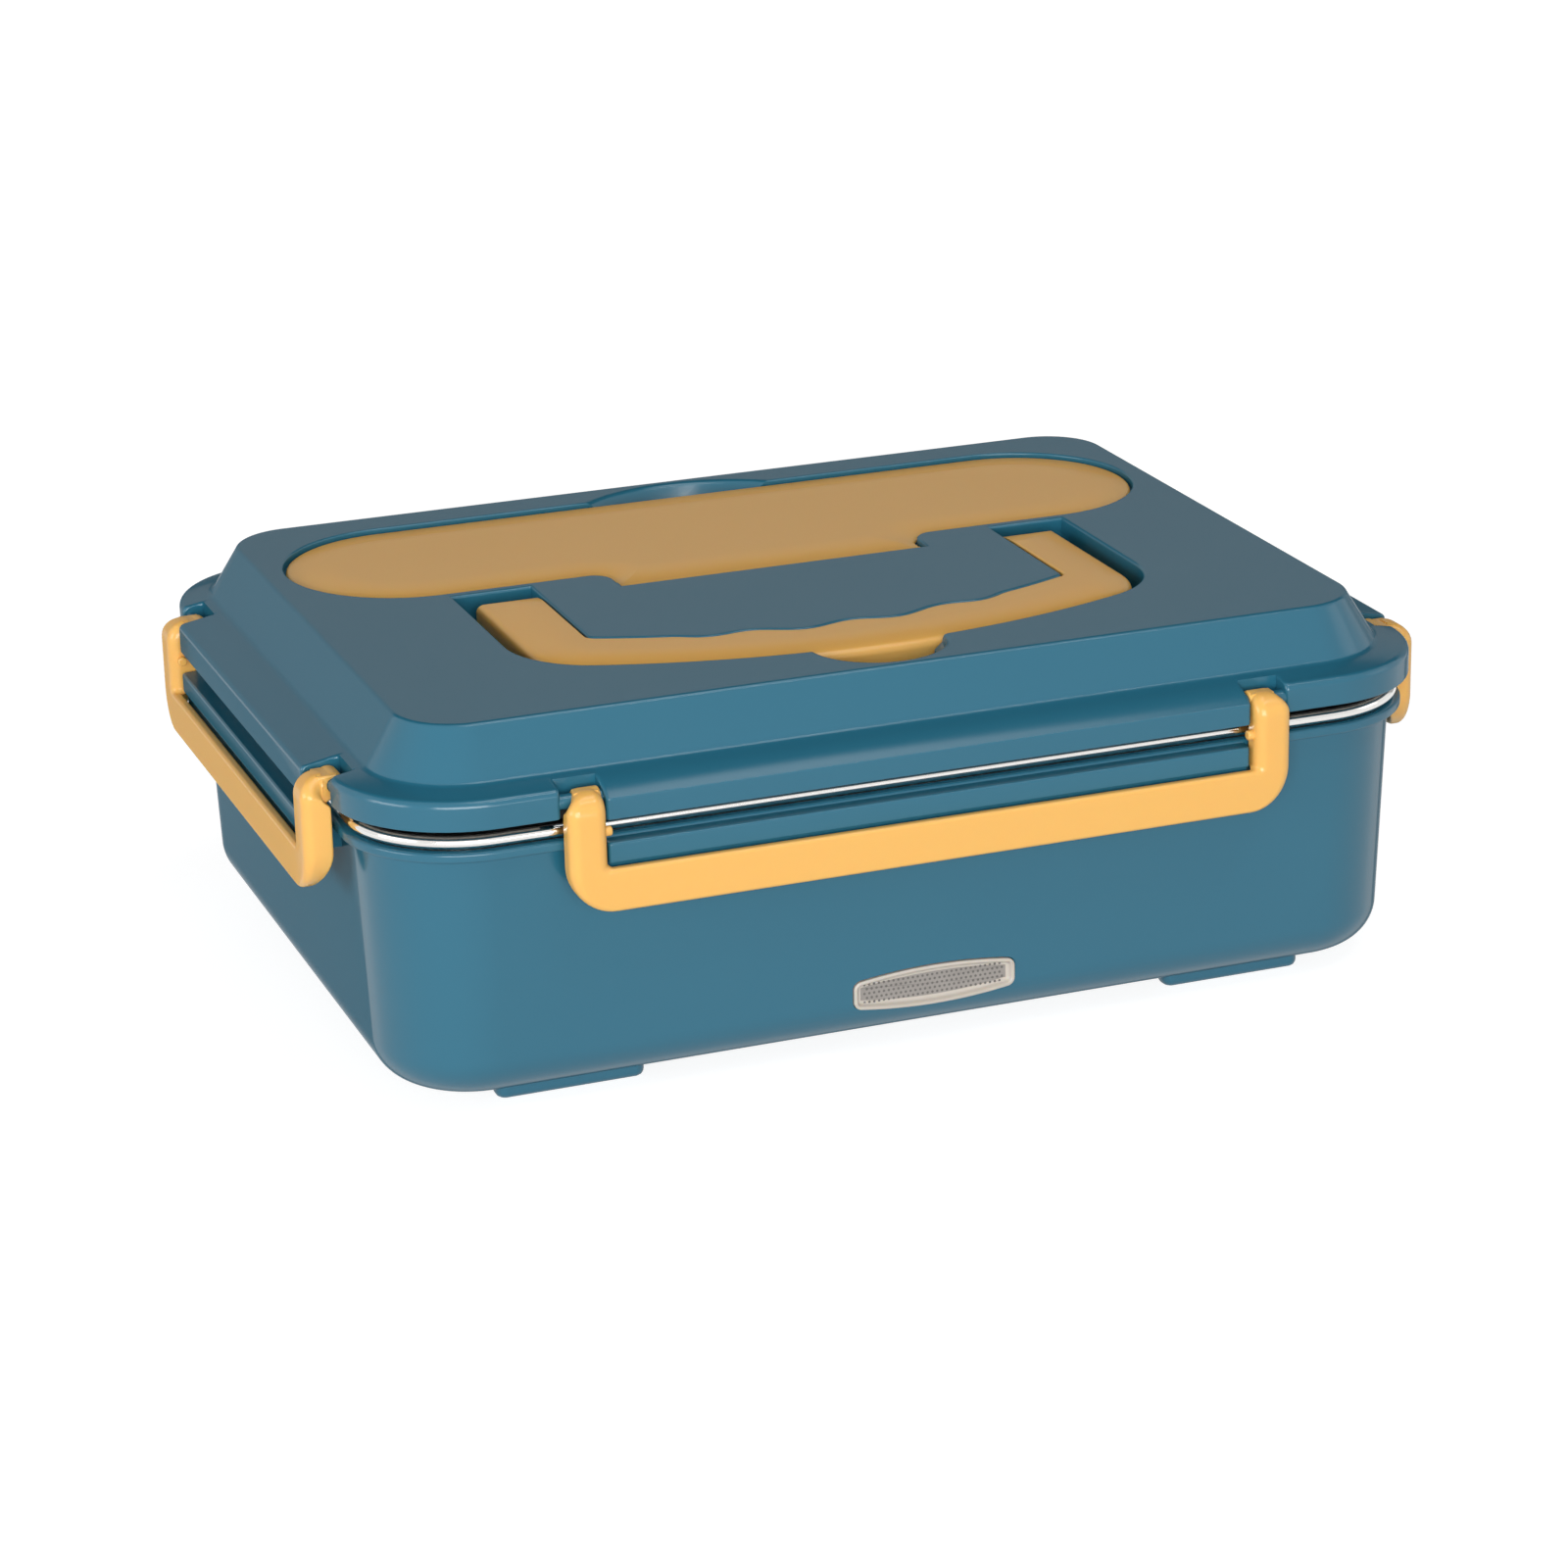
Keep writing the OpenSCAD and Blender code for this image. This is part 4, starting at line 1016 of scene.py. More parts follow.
    def build(self) -> None:
        """Builds the latch and puts it on its shafts."""
        right = self.half_sections()
        left = [[(-x, y, z) for x, y, z in row] for row in reversed(right)]
        made = Shape().loft(right + left).piece(f"{self.node}_moulding")
        arm_in = self.half - self.arm
        back = self.out - self.arm_t
        web = [(-1.5, -1.5), (back + 0.6, -4.5), (back + 0.6, 2.05), (-0.5, 2.1)]
        for s in (-1, 1):
            ends = sorted((s * (arm_in + 0.05), s * (self.half - 1.7)))
            edges = (0.5, 2.0)[::s]
            inner, outer = sorted((s * (arm_in + 0.3), s * (self.half - 2.2)))
            combine(made, Combine.UNION, along_x(disc(self.knuckle_r, 56), *ends, *edges),
                    along_x(web, inner, outer, 0.6))
        mouth = [(-8, -self.bore_half), (0, -self.bore_half), (0, self.bore_half),
                 (-8, self.bore_half)]
        for s in (-1, 1):
            low, high = sorted((s * (arm_in - 1), s * (self.half + 1)))
            combine(made, Combine.CUT, along_x(disc(self.bore_r, 40), low, high),
                    along_x(mouth, low, high))
            nub_x = s * (arm_in - 0.2)
            nub = along_x(disc(1.0, 32), nub_x - 1.1, nub_x + 1.1, 0.35)
            combine(made, Combine.UNION, nub.moved(0, self.out - 2.6, -6.0))
        made.data.transform(Matrix.Scale(MM, 4) @ self.frame() @ Matrix.Scale(1 / MM, 4))
        dress(made, Slot.AMBER_PLASTIC, self.node, self.node)


# ---- The base ----


@dataclass
class Base:
    """The heated base: shell, bottom cover with its screws, chamber, inlet and indicator window.

    Radii of its walls and rim are measured from the corner centres.
    """

    foot_r: float = 20.466
    top_r: float = 22.1
    bottom_r: float = 9.0
    wall_t: float = 2.4
    rim_r: float = 24.7
    rim_z: float = 57.0
    foot_z: float = 3.0
    lip_foot: float = 49.6
    band_foot: float = 52.1
    band_top: float = 56.4
    band_set_back: float = 0.85
    window_x: float = 1.9
    window_z: float = 13.2
    inlet_z: float = 15.6
    pin_r: float = 1.2
    pin_y: float = 4.3
    screw_x: float = 70.0
    screw_y: float = 64.0

    def wall_r(self, z: float) -> float:
        """The wall's radius at a height."""
        low, high = self.foot_z + self.bottom_r, self.rim_z - 2.8
        return self.foot_r + (self.top_r - self.foot_r) * (z - low) / (high - low)

    def face(self, front: bool) -> float:
        """How far out the wall stands at the window's height, or at the inlet's.

        Args:
            front: Whether the wall is the front one.

        Returns:
            Distance from the middle of the box.
        """
        if front:
            return RIM.corner_y + self.wall_r(self.window_z)
        return RIM.corner_x + self.wall_r(self.inlet_z)

    def zones(self, side: int) -> list[Zone]:
        """The shell's sections: a band under each latch bar, and the plain rim.

        Args:
            side: The side's number.

        Returns:
            The zones, from its middle outward.
        """
        arms = RIM.arms(side)
        out, lip_r = arms.band_r, arms.band_r - self.band_set_back
        inner_r = self.top_r - self.wall_t
        fillet_r, fillet_z = self.foot_r - self.bottom_r, self.foot_z + self.bottom_r
        start = arc(fillet_r, fillet_z, self.bottom_r, -90, 0, 14)
        brim = arc(self.rim_r - 0.6, self.rim_z - 0.6, 0.6, 0, 90, 4)
        plain = [(self.wall_r(z), z) for z in (self.lip_foot, 50.8, 52.0, 53.2)]
        plain += [(self.top_r, 54.2)] + arc(self.rim_r - 0.5, 55.5, 0.5, -90, 0, 5) + brim
        # A lip below the band, set back behind the latch's bar, keeps light out of the slit
        band = [(self.wall_r(self.lip_foot), self.lip_foot), (lip_r, self.lip_foot),
                (lip_r, self.band_foot)]
        band += arc(out - 0.4, self.band_foot + 0.4, 0.4, -90, 0, 3)
        band += arc(out - 0.6, self.band_top - 0.6, 0.6, 0, 90, 3) + brim
        rest = [(22.65, self.rim_z), (22.65, 56.1), (inner_r, 56.1)]
        rest += arc(fillet_r, fillet_z, self.bottom_r - self.wall_t, 0, -90, 10)
        rest += [(9, 5.4), (9, 7.2), (1, 7.2), (1, 5.2), (7, 5.2), (7, self.foot_z)]
        return [Zone(arms.half - arms.arm - 0.6, Profile(start + band + rest, 2)),
                Zone(math.inf, Profile(start + plain + rest, 1))]

    def foot(self, sx: int, sy: int) -> Shape:
        """One of the four feet: a low ledge with rounded ends and edges.

        Args:
            sx: Side along X, -1 or 1.
            sy: Side along Y, -1 or 1.

        Returns:
            The solid.
        """
        front = RIM.corner_y + self.foot_r - 8
        depth = front - RIM.corner_y - 7.1
        middle = Vector((sx * (RIM.corner_x - 1 - 15.5), sy * (front - depth / 2)))
        levels = [(-1.2, 0.0), (-0.75, 0.1), (-0.35, 0.4), (-0.1, 0.85), (0.0, 1.4), (0.0, 4.2)]
        return stack(rounded_box(31, depth, 2.2), levels).moved(middle.x, middle.y, 0)

    def screw_spots(self) -> list[Pair]:
        """The six screws' places in plan."""
        return [(x, s * self.screw_y) for x in (-self.screw_x, 0, self.screw_x) for s in (-1, 1)]

    def window_plan(self) -> Outline:
        """The window's outline: long edges that bow outward, and small round corners.

        Returns:
            The outline, seen from outside.
        """
        bow, r, x, mid = 110.0, 1.8, 15.7, 4.2 - 110.0
        y = mid + math.sqrt((bow - r) ** 2 - x ** 2)
        meet = math.degrees(math.atan2(y - mid, x))
        upper = arc(x, y, r, 0, meet, 7) + arc(0, mid, bow, meet, 90, 12)
        upper += mirrored(upper)
        return clean(upper + [(-x, -y) for x, y in upper])

    def upright(self, outline: Outline, levels: Levels, front: bool) -> Shape:
        """A plate in the front or the right wall: levels are (grow, distance outward) pairs."""
        return stack(outline, levels).placed(self.facing(front))

    def facing(self, front: bool) -> Matrix:
        """Stands a solid up in the front wall at the window, or in the right one at the inlet.

        Args:
            front: Whether the wall is the front one.

        Returns:
            The matrix, in millimetres.
        """
        if front:
            return Matrix(((1, 0, 0, self.window_x), (0, 0, -1, 0), (0, 1, 0, self.window_z),
                           (0, 0, 0, 1)))
        return Matrix(((0, 0, 1, 0), (1, 0, 0, 0), (0, 1, 0, self.inlet_z), (0, 0, 0, 1)))

    def shell(self) -> None:
        """The moulded outer shell with its feet, screw bosses and openings."""
        made = RIM.sweep(self.zones, closed=True, edge=0.7).piece("outer_shell_moulding")
        feet = [self.foot(sx, sy) for sx in (-1, 1) for sy in (-1, 1)]
        bosses = [spun([(3.2, 6.8), (3.2, 14.2)], 32, spot) for spot in self.screw_spots()]
        combine(made, Combine.UNION, *feet, *bosses)
        pilots = [spun([(1.5, 4.2), (1.5, 15)], 24, spot) for spot in self.screw_spots()]
        face = self.face(front=True)
        window = self.upright(self.window_plan(),
                              [(0.1, face - 8), (0.1, face - 0.2), (0.15, face - 0.08),
                               (0.25, face + 0.02), (0.4, face + 3)], True)
        face = self.face(front=False)
        inlet = self.upright(rounded_box(22.2, 12.2, 6.1),
                             [(0, face - 8), (0, face - 0.3), (0.1, face - 0.1),
                              (0.3, face + 0.02), (0.5, face + 3)], False)
        combine(made, Combine.CUT, *pilots, window, inlet)
        dress(made, Slot.TEAL_PLASTIC, "base", "outer_shell")

    def bottom(self, grid: CopyGrid) -> None:
        """The removable bottom cover and its six screws.

        Args:
            grid: The node tree that sets out copies.
        """
        outline = [(sx * RIM.corner_x + x, sy * RIM.corner_y + y)
                   for k, (sx, sy) in enumerate(((1, -1), (1, 1), (-1, 1), (-1, -1)))
                   for x, y in arc(0, 0, 6.8, 90 * k - 90, 90 * k, 14)]
        plate = stack(outline, plate_levels(self.foot_z, 5.1, 0.5, 0.2))
        made = plate.piece("bottom_cover_moulding")
        ribs = [block((-81, 81), (y - 0.8, y + 0.8), (5.0, 7.3)) for y in (-36, 0, 36)]
        ribs += [block((x - 0.8, x + 0.8), (-52, 52), (5.0, 7.25)) for x in (-54, 54)]
        combine(made, Combine.UNION, *ribs)
        well = [(3.3, 2), (3.1, 2.98), (2.9, 3.1), (2.9, 4.1), (1.7, 4.1), (1.7, 6)]
        combine(made, Combine.CUT, *(spun(well, 40, spot) for spot in self.screw_spots()))
        dress(made, Slot.TEAL_PLASTIC, "base", "bottom_cover")
        screw = spun([(0, -4.1), (1.1, -4.1), (1.45, -3.4), (1.45, 0.05), (2.7, 0.05), (2.7, 0.35),
                      (2.45, 0.72), (1.9, 0.93), (0, 1.0)], 32)
        screw.points = [(x, y, -z) for x, y, z in screw.points]
        made = grid.make("bottom_cover_screws", screw, Slot.SCREW_STEEL, Columns=3, Rows=2,
                         Pitch_X=self.screw_x * MM, Pitch_Y=2 * self.screw_y * MM,
                         Centre=(0, 0, 4.05 * MM))
        slots = [Shape().loft([[(x + a, y - b, z), (x + b, y - a, z), (x - a, y + b, z),
                                (x - b, y + a, z)] for z in (2.6, 3.75)])
                 for x, y in self.screw_spots() for a, b in ((0.9, 1.35), (1.35, -0.9))]
        combine(made, Combine.CUT, *slots)
        dress(made, Slot.SCREW_STEEL, "base", "bottom_screws")

    def chamber(self) -> None:
        """The drawn steel liner of the chamber."""
        slope = math.tan(math.radians(DRAFT))
        top_r, floor = 17.3, 23.6
        foot_r = top_r - (self.rim_z - floor) * slope
        outer = arc(foot_r - 6, floor + 6, 6, -90, 0, 12) + [(top_r - 0.02, 55.6)]
        outer += [(top_r + 0.2, 56.1), (22.55, 56.2)]
        inner = [(22.55, self.rim_z), (top_r + 0.9, self.rim_z)]
        inner += arc(top_r + 0.2, self.rim_z - 1, 1, 90, 180, 5)
        inner += arc(foot_r - 6, floor + 6, 5.2, 0, -90, 12)
        made = RIM.plain(outer + inner, closed=False).piece("chamber_liner_sheet")
        dress(made, Slot.STAINLESS_SHEET, "base", "chamber_liner")

    def window(self, grid: CopyGrid) -> None:
        """The indicator window: a raised rim round a sunk lens, with its perforations as painted-shade
        dots.

        Args:
            grid: The node tree that sets out copies.
        """
        face = self.face(front=True)
        plan = self.window_plan()
        rim = self.upright(plan, [(1.2, face - 5.4), (1.2, face - 4.5), (0, face - 4.4),
                                  (0, face + 0.1), (-0.06, face + 0.32), (-0.22, face + 0.46),
                                  (-0.45, face + 0.5)], True)
        made = rim.piece("indicator_window_lens")
        sunk = self.upright(plan, [(-1.6, face - 0.7), (-1.3, face - 0.62), (-1.05, face - 0.4),
                                   (-0.9, face - 0.05), (-0.8, face + 0.3), (-0.62, face + 0.47),
                                   (-0.6, face + 2)], True)
        combine(made, Combine.CUT, sunk)
        dress(made, Slot.MILKY_LENS, "base", "indicator_window")
        net = self.upright(plan, [(-1.75, face - 0.75), (-1.75, face - 0.6), (-1.85, face - 0.56)], True)
        dress(net.piece("indicator_window_net"), Slot.MILKY_LENS, "base", finish=GRILLE)
        # The perforations are flat discs whose darker grey is painted shade, not real holes
        dot = spun([(0.27, -0.02), (0.27, 0.02), (0, 0.03)], 10)
        dots = grid.make("indicator_window_dots", dot, Slot.BLACK_PLASTIC, Columns=29, Rows=5,
                         Pitch_X=1.05 * MM, Pitch_Y=0.95 * MM, Stagger=0.52 * MM,
                         Centre=(self.window_x * MM, (0.55 - face) * MM, self.window_z * MM),
                         Turn=(math.pi / 2, 0, 0))
        dress(dots, Slot.MILKY_LENS, "base", finish=PAINTED_HOLE_SHADE)

    def inlet(self) -> None:
        """The supply inlet: an oval shroud with two round-nosed pins."""
        face = self.face(front=False)
        body = self.upright(rounded_box(22, 12, 6), plate_levels(face - 15, face, 0.2, 0.5), False)
        made = body.piece("power_inlet_shroud")
        levels = plate_levels(face - 15, face - 5.4, 0.2, 0.2)
        combine(made, Combine.UNION, self.upright(rounded_box(20, 14, 1), levels, False))
        levels = pocket_levels(face - 11, face, 0.3, 0.5)
        combine(made, Combine.CUT, self.upright(rounded_box(16.6, 8.4, 4.2), levels, False))
        dress(made, Slot.BLACK_PLASTIC, "base", "power_inlet")
        nose = [(self.pin_r * math.cos(math.radians(a)),
                 face - 3.2 + self.pin_r * math.sin(math.radians(a))) for a in (0, 20, 40, 60, 80, 90)]
        side = [(self.pin_r - 0.3, face - 18), (self.pin_r, face - 17.7)] + nose
        left, right = (spun(side, 32, (s * self.pin_y, 0)).placed(self.facing(False)) for s in (-1, 1))
        tabs = [along_x(rounded_box(0.8, 3.2, 0.3), face - 23, face - 17.4, 0.2)
                .moved(0, s * self.pin_y, self.inlet_z) for s in (-1, 1)]
        made = left.piece("inlet_pins_brass")
        combine(made, Combine.UNION, tabs[0])
        combine(made, Combine.UNION, right, tabs[1])
        dress(made, Slot.BRASS_PIN, "base", "inlet_pins")

    def build(self, grid: CopyGrid) -> None:
        """Builds every piece of the base.

        Args:
            grid: The node tree that sets out copies.
        """
        self.shell()
        self.bottom(grid)
        self.chamber()
        self.window(grid)
        self.inlet()


# ---- The food container ----


@dataclass
class Container:
    """The lift-out steel food container with its rolled rim."""

    top_r: float = 15.5
    floor_z: float = 24.7
    sheet: float = 0.7
    fillet: float = 8.0
    roll_r: float = 1.3
    roll_mid_r: float = 22.55
    roll_z: float = 58.6

    def build(self) -> None:
        """Builds the container."""
        web = self.roll_z + self.roll_r - 0.3
        foot_r = self.top_r - (web - self.floor_z) * math.tan(math.radians(DRAFT))
        under, fillet = web - self.sheet, (foot_r - self.fillet, self.floor_z + self.fillet)
        outer = arc(*fillet, self.fillet, -90, 0, 12)
        outer += [(self.top_r - 0.1, under - 1.2), (self.top_r + 0.3, under - 0.3),
                  (self.top_r + 1.1, under), (self.roll_mid_r - 1.1, under)]
        roll = arc(self.roll_mid_r, self.roll_z, self.roll_r, 190, 484, 30)
        inner = [(self.top_r + 0.8, web)] + arc(self.top_r + 0.3, web - 1, 1, 90, 180, 5)[1:]
        inner += arc(*fillet, self.fillet - self.sheet, 0, -90, 12)
        made = RIM.plain(outer + roll + inner, closed=False).piece("steel_container_drawn")
        dress(made, Slot.POLISHED_STEEL, "container", "steel_container")


# ---- The lid ----


@dataclass
class Lid:
    """The lid and what rides on it: shell, panel, seal, latch shafts, plug, handle and cover.

    Radii of its outer faces and seal are measured from the corner centres.
    """

    top_z: float = 79.1
    foot_z: float = 68.85
    top_r: float = 13.5
    spread_r: float = 19.2
    flange_r: float = 26.25
    flange_z: float = 61.85
    under_z: float = 63.8
    slit_r: float = 21.5
    seal_r: float = 19.15
    vent_x: float = 62.0
    vent_r: float = 3.0
    groove_z: float = 71.4
    groove_half: float = 69.5
    groove_bow: float = 158.5
    scoop_y: float = -56.5
    scoop_r: float = 14.1
    handle_half: float = 65.7
    handle_bow: float = 158.0
    handle_front: float = 58.2
    handle_foot: float = 71.9
    handle_arm: float = 12.9
    handle_hinge_z: float = 75.5
    grip_y0: float = -43.0
    grip_bow: float = 124.0
    grip_corner: float = 2.4
    wave: float = 1.2
    wave_pitch: float = 20.5
    cover_mid_y: float = 36.9
    cover_end_x: float = 70.7
    cover_end_r: float = 26.1
    cover_front: float = 3.0
    tab_x: float = 39.3
    tab_y: float = 5.8
    tab_r: float = 5.0
    seat_z: float = 77.2
    hinge_y: float = 3.0
    hinge_z: float = 76.6
    bay_r: float = 23.6

    def zones(self, side: int) -> list[Zone]:
        """The lid's sections: a band between the latch arms, their slits, and the plain flange.

        Args:
            side: The side's number.

        Returns:
            The zones, from its middle outward.
        """
        arms, foot = RIM.arms(side), self.flange_z
        out, arm_in = arms.band_r, arms.half - arms.arm
        top = list(reversed(arc(self.top_r - 1.2, self.top_z - 1.2, 1.2, 26, 90, 6)))
        slope_end = [(self.spread_r - 0.25, self.foot_z + 0.55),
                     (self.spread_r + 0.1, self.foot_z + 0.2),
                     (self.spread_r + 0.75, self.foot_z - 0.02)]
        shelf = bezier([(20.3, 68.76), (22.0, 68.53), (23.6, 68.25), (24.8, 67.99)], 6)
        brow = shelf + arc(self.flange_r - 1.6, 66.4, 1.6, 76, 0, 7)
        inner = [(23.95, foot), (23.95, self.under_z)]
        under = [(self.flange_r, foot + 0.4), (self.flange_r - 0.12, foot + 0.12),
                 (self.flange_r - 0.4, foot), (25.1, foot), (25.0, foot)]
        plain = top + slope_end + brow + under + inner
        band = top + slope_end
        if side % 2 == 0:
            band += bezier([(20.3, 68.74), (22.6, 68.3), (25.2, 67.2), (out - 0.28, 65.55)], 10)
            band += arc(out - 0.5, 65.1, 0.5, 62, 0, 3)
        else:
            band += shelf + arc(out - 1.2, 66.1, 1.2, 80, 0, 7)
        band += [(out, foot - 0.5), (out - 0.12, foot - 0.78), (out - 0.4, foot - 0.9),
                 (25.2, foot - 0.9), (25.1, foot)] + inner
        slit = top + slope_end
        slit += [(self.slit_r, min(z, 68.6) - 0.15 * i) for i, (_, z) in enumerate(brow)]
        slit += [(self.slit_r, z) for z in (62.9, 62.7, 62.5, 62.3)]
        slit += [(self.slit_r - 0.1, 62.3), (self.seal_r, 62.3), (self.seal_r, self.under_z)]
        return [Zone(arm_in - 0.4, Profile(band, 3)), Zone(arms.half + 0.4, Profile(slit, 1)),
                Zone(math.inf, Profile(plain, 2))]

    def u_plan(self, half_w: float, bow: float, corner: float, back: float) -> Outline:
        """Plan of the handle's U: a bowed front, round corners and straight arms.

        Args:
            half_w: Half of its width.
            bow: The front's radius.
            corner: Radius of the corners.
            back: Where the arms end along Y.

        Returns:
            The outline.
        """
        middle = self.handle_bow - self.handle_front
        start = middle - math.sqrt((bow - corner) ** 2 - (half_w - corner) ** 2)
        meet = math.degrees(math.atan2(start - middle, half_w - corner))
        right = arc(0, middle, bow, -90, meet, 22) + arc(half_w - corner, start, corner, meet, 0, 14)
        right += [(half_w, back)]
        return both_halves(right)

    def grip_y(self, x: float) -> float:
        """The grip's inner edge: a shallow bow with finger waves.

        Args:
            x: Distance along the grip from its middle.

        Returns:
            The edge's Y.
        """
        pitch, waved = self.wave_pitch, abs(x) < 1.75 * self.wave_pitch
        wave = self.wave * math.cos(math.tau * x / pitch) if waved else 0
        return self.grip_y0 + self.grip_bow - math.sqrt(self.grip_bow ** 2 - x * x) + wave

    def island_plan(self, gap: float, back: float) -> Outline:
        """Plan of the space inside the handle's U, smaller by the gap.

        Args:
            gap: Distance kept from the handle.
            back: Where it ends along Y.

        Returns:
            The outline.
        """
        half_w = self.handle_half - self.handle_arm
        y = self.grip_y(half_w)
        near = (half_w - 2, self.grip_y(half_w - 2))
        turn = round_corner(near, (half_w, y), (half_w, y + 10), self.grip_corner, 6)
        steps = 70
        across = [turn[0][0] * (2 * i / steps - 1) for i in range(steps + 1)]
        front = [(x, self.grip_y(x)) for x in across]
        plan = clean(front + turn[1:] + [(half_w, back), (-half_w, back)] + mirrored(turn[1:]))
        return offset(plan, -gap)

    def cover_plan(self, grow: float) -> Outline:
        """Plan of the cutlery cover: a long oval with a hinge tab in front.

        Args:
            grow: How far the outline stands outside the cover.

        Returns:
            The outline, with as many points for any growth.
        """
        front, r = self.cover_front - min(grow, 0), self.tab_r - grow
        end_r = self.cover_end_r + grow
        start = 180 - math.degrees(math.asin(max(0.0, (front - self.tab_y) / r)))
        fillet = arc(self.tab_x, self.tab_y, r, start, 90, 10)
        right = [((fillet[0][0] - 0.02) * i / 15, front) for i in range(1, 16)] + fillet
        right += [(self.tab_x + (self.cover_end_x - self.tab_x) * i / 12, fillet[-1][1])
                  for i in range(1, 12)]
        right += arc(self.cover_end_x, self.cover_mid_y, end_r, -90, 90, 48)
        right += [(self.cover_end_x * (1 - i / 20), self.cover_mid_y + end_r) for i in range(1, 20)]
        return both_halves(right)

    def bay_plan(self) -> Outline:
        """Plan of the cutlery bay."""
        right = arc(self.cover_end_x, self.cover_mid_y, self.bay_r, -90, 90, 48)
        return both_halves(right)

    def shell(self) -> None:
        """The moulded shell with the hollows in its top."""
        made = RIM.sweep(self.zones, closed=False, edge=0.8).piece("lid_shell_moulding")
        top, lip = self.top_z, self.scoop_r
        groove = stack(self.u_plan(self.groove_half, self.groove_bow, 20, 8),
                       pocket_levels(self.groove_z, top, 1.2, 0.7))
        bowl = spun(arc(lip - 7, self.groove_z + 5, 5, -90, -5, 8)
                    + [(lip - 0.5, 77.2), (lip - 0.25, 78.1), (lip, 78.6), (lip + 0.35, 78.9),
                       (lip + 0.8, 79.06), (lip + 1.4, 79.14), (lip + 1.4, 81)],
                    72, (0, self.scoop_y))
        hollow = groove.piece("handle_hollow")
        combine(hollow, Combine.UNION, bowl)
        island_levels = [(-g, z) for g, z in pocket_levels(self.groove_z - 1, top, 0, 0.6, 3)]
        combine(hollow, Combine.CUT, stack(self.island_plan(0.5, 18), island_levels))
        seat = stack(self.cover_plan(0.5), pocket_levels(self.seat_z, top, 0, 0.45))
        bay = stack(self.bay_plan(), pocket_levels(65.8, self.seat_z, 3, 0.5))
        trough = along_x(disc(2.8, 48), -34.6, 34.6).moved(0, self.hinge_y, self.hinge_z)
        mouth = stack([(-34.6, 0.2), (34.6, 0.2), (34.6, 7.2), (-34.6, 7.2)],
                      pocket_levels(self.hinge_z, top, 0, 0.35))
        combine(made, Combine.CUT, seat, bay, trough, mouth, self.vent(66.5))
        # The finger notch behind the cover is the back of a dished disc
        notch = spun([(30.6, 74.6), (31.4, 74.75), (31.9, 75.1), (34.2, 78.3), (34.6, 78.75),
                      (35.1, 78.98), (35.9, 79.1), (36.3, 79.13), (36.3, 81)], 160, (0, 36))
        cutter = notch.piece("notch_cutter")
        combine(cutter, Combine.MEET, block((-40, 40), (61.8, 80), (70, 85)))
        combine(made, Combine.CUT, hollow)
        combine(made, Combine.CUT, cutter)
        dress(made, Slot.TEAL_PLASTIC, "lid", "lid_shell")

    def vent(self, top: float) -> Shape:
        """A cutter for the steam vent's hole, up to a height."""
        return spun([(self.vent_r, 60), (self.vent_r, top)], 40, (self.vent_x, self.cover_mid_y))

    def shafts(self, grid: CopyGrid) -> None:
        """The eight moulded shafts that the latches turn on.

        Args:
            grid: The node tree that sets out copies.
        """
        for side, name in enumerate(("latch_shafts_long", "latch_shafts_short")):
            arms = RIM.arms(side)
            reach = arms.arm / 2 + 1.2
            spot = (arms.half - arms.arm / 2, RIM.out(side) + SHAFT_IN)
            x, y = spot[::-1] if side else spot
            part = along_x(disc(1.5, 32), -reach, reach).placed(RIM.turn(side))
            made = grid.make(name, part, Slot.TEAL_PLASTIC, Columns=2, Rows=2, Pitch_X=2 * x * MM,
                             Pitch_Y=2 * y * MM, Centre=(0, 0, SHAFT_Z * MM))
            dress(made, Slot.TEAL_PLASTIC, "lid")

    def panel(self) -> None:
        """The white inner panel with its locating ring."""
        ring = 13.8
        loop = [(3, 62.1), (ring - 1.4, 62.1)] + arc(ring - 0.7, 58.2, 0.7, 180, 360, 8)
        loop += [(ring, 62.1), (23.45, 62.1), (23.65, 62.3), (23.65, 63.5), (23.45, 63.7), (3, 63.7)]
        made = RIM.plain(loop, closed=False).piece("lid_inner_panel")
        cuts = [self.vent(66)]
        for side in range(4):
            arms, out = RIM.arms(side), RIM.out(side) + SHAFT_IN
            x, reach = arms.half - arms.arm / 2, arms.arm / 2 + 3.1
            cuts += [block((s * x - reach, s * x + reach), (out - 5.6, out + 12), (60, 66))
                     .placed(RIM.turn(side)) for s in (-1, 1)]
        combine(made, Combine.CUT, *cuts)
        dress(made, Slot.WHITE_PLASTIC, "lid", "lid_liner")

    def seal(self) -> None:
        """The silicone seal that the container's rolled rim presses."""
        mid = self.seal_r
        loop = arc(mid - 1.6, 60.8, 0.6, 180, 270, 4) + arc(mid + 1.6, 60.8, 0.6, -90, 0, 4)
        loop += [(mid + 2.2, 62.05), (mid - 2.2, 62.05)]
        made = RIM.plain(loop, closed=True).piece("lid_seal_ring")
        # The seal's near-black finish is painted shade for the gap under the flange
        dress(made, Slot.BLACK_SILICONE, "lid", "lid_seal")

    def plug(self) -> None:
        """The steam vent's pull-up plug in the floor of the bay."""
        foot = 65.9
        button = [(2.92, 62.5), (2.92, foot), (5.6, foot), (6, foot + 0.4), (6, foot + 1.0),
                  (5.7, foot + 1.4), (5.1, foot + 1.6), (0, foot + 1.65)]
        made = spun(button, 56, (self.vent_x, self.cover_mid_y)).piece("steam_plug")
        tab = [(-4, foot + 1.3), (4, foot + 1.3), (4, foot + 3.4)]
        tab += arc(2.8, foot + 3.4, 1.2, 0, 90, 6) + arc(-2.8, foot + 3.4, 1.2, 90, 180, 6)
        grip = along_x(tab, -1, 1, 0.3).moved(self.vent_x, self.cover_mid_y, 0)
        combine(made, Combine.UNION, grip)
        dress(made, Slot.SILICONE, "steam_vent_plug", "steam_vent_plug")

